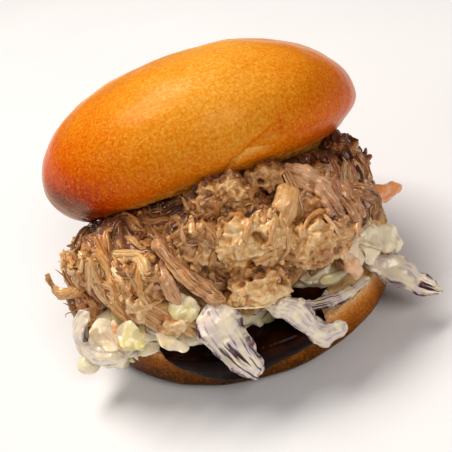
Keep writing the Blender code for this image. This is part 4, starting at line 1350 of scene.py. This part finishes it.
def fray(shreds, count, rng):
    """Every broad shred as a bundle of a few fibres."""
    return [fibre for item in shreds for fibre in bundle(item, count, rng, 0.8, 0.10)]


# %% Make the loose pork
dice = random.Random(23)
HANGING = (               # routes in millimetres of shreds that hang from the heap over the slaw
    ((-35, -40, 43), (-31, -44, 38.5), (-27, -48, 34), (-24, -51, 31)),
    ((-31, -43, 41), (-27, -47, 37), (-22.5, -50, 33), (-19, -53, 30)),
    ((-28, -44, 39), (-23, -48.5, 35), (-18, -52, 32), (-14, -54, 30.5)),
    ((-33, -43, 38), (-30, -47, 34), (-26.5, -50, 31)), ((-25, -47, 36), (-20.5, -51, 31.5), (-17, -54, 29)),
    ((-24, -48, 34), (-21, -51, 30.5), (-19.5, -53, 28.5)), ((-40, -34, 41), (-38, -40, 36), (-35, -44, 32)))
hanging = [millimetre_shred(route, (2.4, 3.2, 2.8, 1.8)[:len(route)],
                            (1.8, 2.2, 2.0, 1.4)[:len(route)], FRONT,
                            (0.66 + dice.gauss(0.0, 0.07), 0.2, dice.uniform(0.0, 0.5)),
                            seed=dice.uniform(0.0, 60.0))
           for route in HANGING]
finish_shreds("pork_shreds_hanging", fray(hanging, 7, dice), 9, 14, shred_meat, "pork", "pulled_pork")
broad = lay_shreds(190, dice, (9 * MM, 19 * MM), (2.8 * MM, 4.8 * MM), (2.0 * MM, 3.4 * MM),
                   lift=0.9 * MM, groove=0.30)
finish_shreds("pork_shreds_broad", fray(broad, 6, dice), 8, 9, shred_meat, "pork", "pulled_pork")
short = lay_shreds(440, dice, (5 * MM, 11 * MM), (1.1 * MM, 2.2 * MM), (0.9 * MM, 1.6 * MM),
                   lift=0.7 * MM, groove=0.32, bend=0.25, clump_share=0.3)
finish_shreds("pork_shreds_short", short, 8, 9, shred_meat, "pork", "pulled_pork")
crumbs = lay_shreds(420, dice, (1.6 * MM, 3.6 * MM), (1.2 * MM, 2.4 * MM), (1.0 * MM, 2.0 * MM),
                    lift=0.6 * MM, groove=0.35, bend=0.3, clump_share=0.5, points=4)
finish_shreds("pork_crumbs", crumbs, 8, 7, shred_meat, "pork", "pulled_pork")
threads = lay_shreds(180, dice, (5 * MM, 12 * MM), (0.35 * MM, 0.6 * MM), (0.3 * MM, 0.5 * MM),
                     lift=1.6 * MM, groove=0.1, bend=0.3, clump_share=0.3)
finish_shreds("pork_threads", threads, 6, 10, shred_meat, "pork", "pulled_pork")

# %% [markdown]
# ## Floor, light and camera
#
# The sandwich stands on a plain pale floor. One broad soft lamp hangs above it and a little behind,
# as a ceiling lamp over a table would: it lights the crown and the top of each shred, and leaves
# the front of the heel and the hollows under the crown dark. Painted shade in their colours makes
# them darker still. A weaker lamp at the front and a faint one at the left keep those hollows from
# going black. The camera looks down on the open front, with the picture turned a little, and
# colours are shown without a film curve so that the crust keeps its strong orange.

# %% Floor
def make_floor():
    bm = bmesh.new()
    bmesh.ops.create_grid(bm, x_segments=2, y_segments=2, size=3.0)
    mesh = bpy.data.meshes.new("floor")
    bm.to_mesh(mesh)
    bm.free()
    made, tree, shader = new_material("pale_matt_board")
    coord = add_node(tree, "ShaderNodeTexCoord").outputs["Object"]
    grain = add_node(tree, "ShaderNodeTexNoise", {"Vector": coord, "Scale": 6.0}).outputs["Fac"]
    colour = add_node(tree, "ShaderNodeValToRGB", {"Fac": grain}, stops=((0.3, "#E8EDF9"), (0.7, "#ECF1FC")))
    tree.links.new(colour.outputs["Color"], shader.inputs["Base Color"])
    shader.inputs["Roughness"].default_value = 0.9
    shader.inputs["Specular IOR Level"].default_value = 0.1
    mesh.materials.append(made)
    floor = bpy.data.objects.new("floor", mesh)
    bpy.context.scene.collection.objects.link(floor)


make_floor()

# %% Lamps and sky
def add_lamp(name, place, aim, wide, deep, watts, colour):
    """A flat soft lamp at a place, turned to look at its aim."""
    light = bpy.data.lights.new(name, "AREA")
    light.shape = "RECTANGLE"
    light.size = wide
    light.size_y = deep
    light.energy = watts
    light.color = hex_linear(colour)[:3]
    lamp = bpy.data.objects.new(name, light)
    lamp.location = place
    lamp.rotation_euler = (Vector(aim) - Vector(place)).to_track_quat("-Z", "Y").to_euler()
    bpy.context.scene.collection.objects.link(lamp)


HEART = Vector((0.0, -0.010, 0.045))
add_lamp("ceiling_lamp", (-0.34, 0.36, 1.18), HEART, 0.80, 0.42, 16.5, "#FFF3E2")
add_lamp("front_fill", (0.44, -1.00, 1.04), HEART, 0.60, 0.60, 8.5, "#FFF3E4")
add_lamp("left_fill", (-1.10, -0.50, 0.70), HEART, 0.70, 0.70, 2.0, "#FFF1E0")

sky = bpy.data.worlds.new("studio")
sky.use_nodes = True
sky.node_tree.nodes["Background"].inputs["Color"].default_value = hex_linear("#FFFFFF")
sky.node_tree.nodes["Background"].inputs["Strength"].default_value = 0.08
bpy.context.scene.world = sky
bpy.context.scene.view_settings.view_transform = "Standard"

# %% Camera
CAMERA_AIM = mm(-0.2, 10.0, 17.5)
CAMERA_AWAY = 0.250
CAMERA_HIGH = math.radians(34.5)
CAMERA_TURN = math.radians(16.5)

camera_data = bpy.data.cameras.new("camera")
camera_data.sensor_width = 36.0
camera_data.lens = 53.9
camera_data.clip_start = 0.01
camera = bpy.data.objects.new("camera", camera_data)
back = Vector((0.0, -math.cos(CAMERA_HIGH), math.sin(CAMERA_HIGH)))
looks = (-back).to_track_quat("-Z", "Y").to_matrix().to_4x4()
camera.matrix_world = (Matrix.Translation(CAMERA_AIM + back * CAMERA_AWAY) @ looks
                       @ Matrix.Rotation(-CAMERA_TURN, 4, "Z"))
bpy.context.scene.collection.objects.link(camera)
bpy.context.scene.camera = camera
print("camera at", [round(c, 3) for c in camera.location])
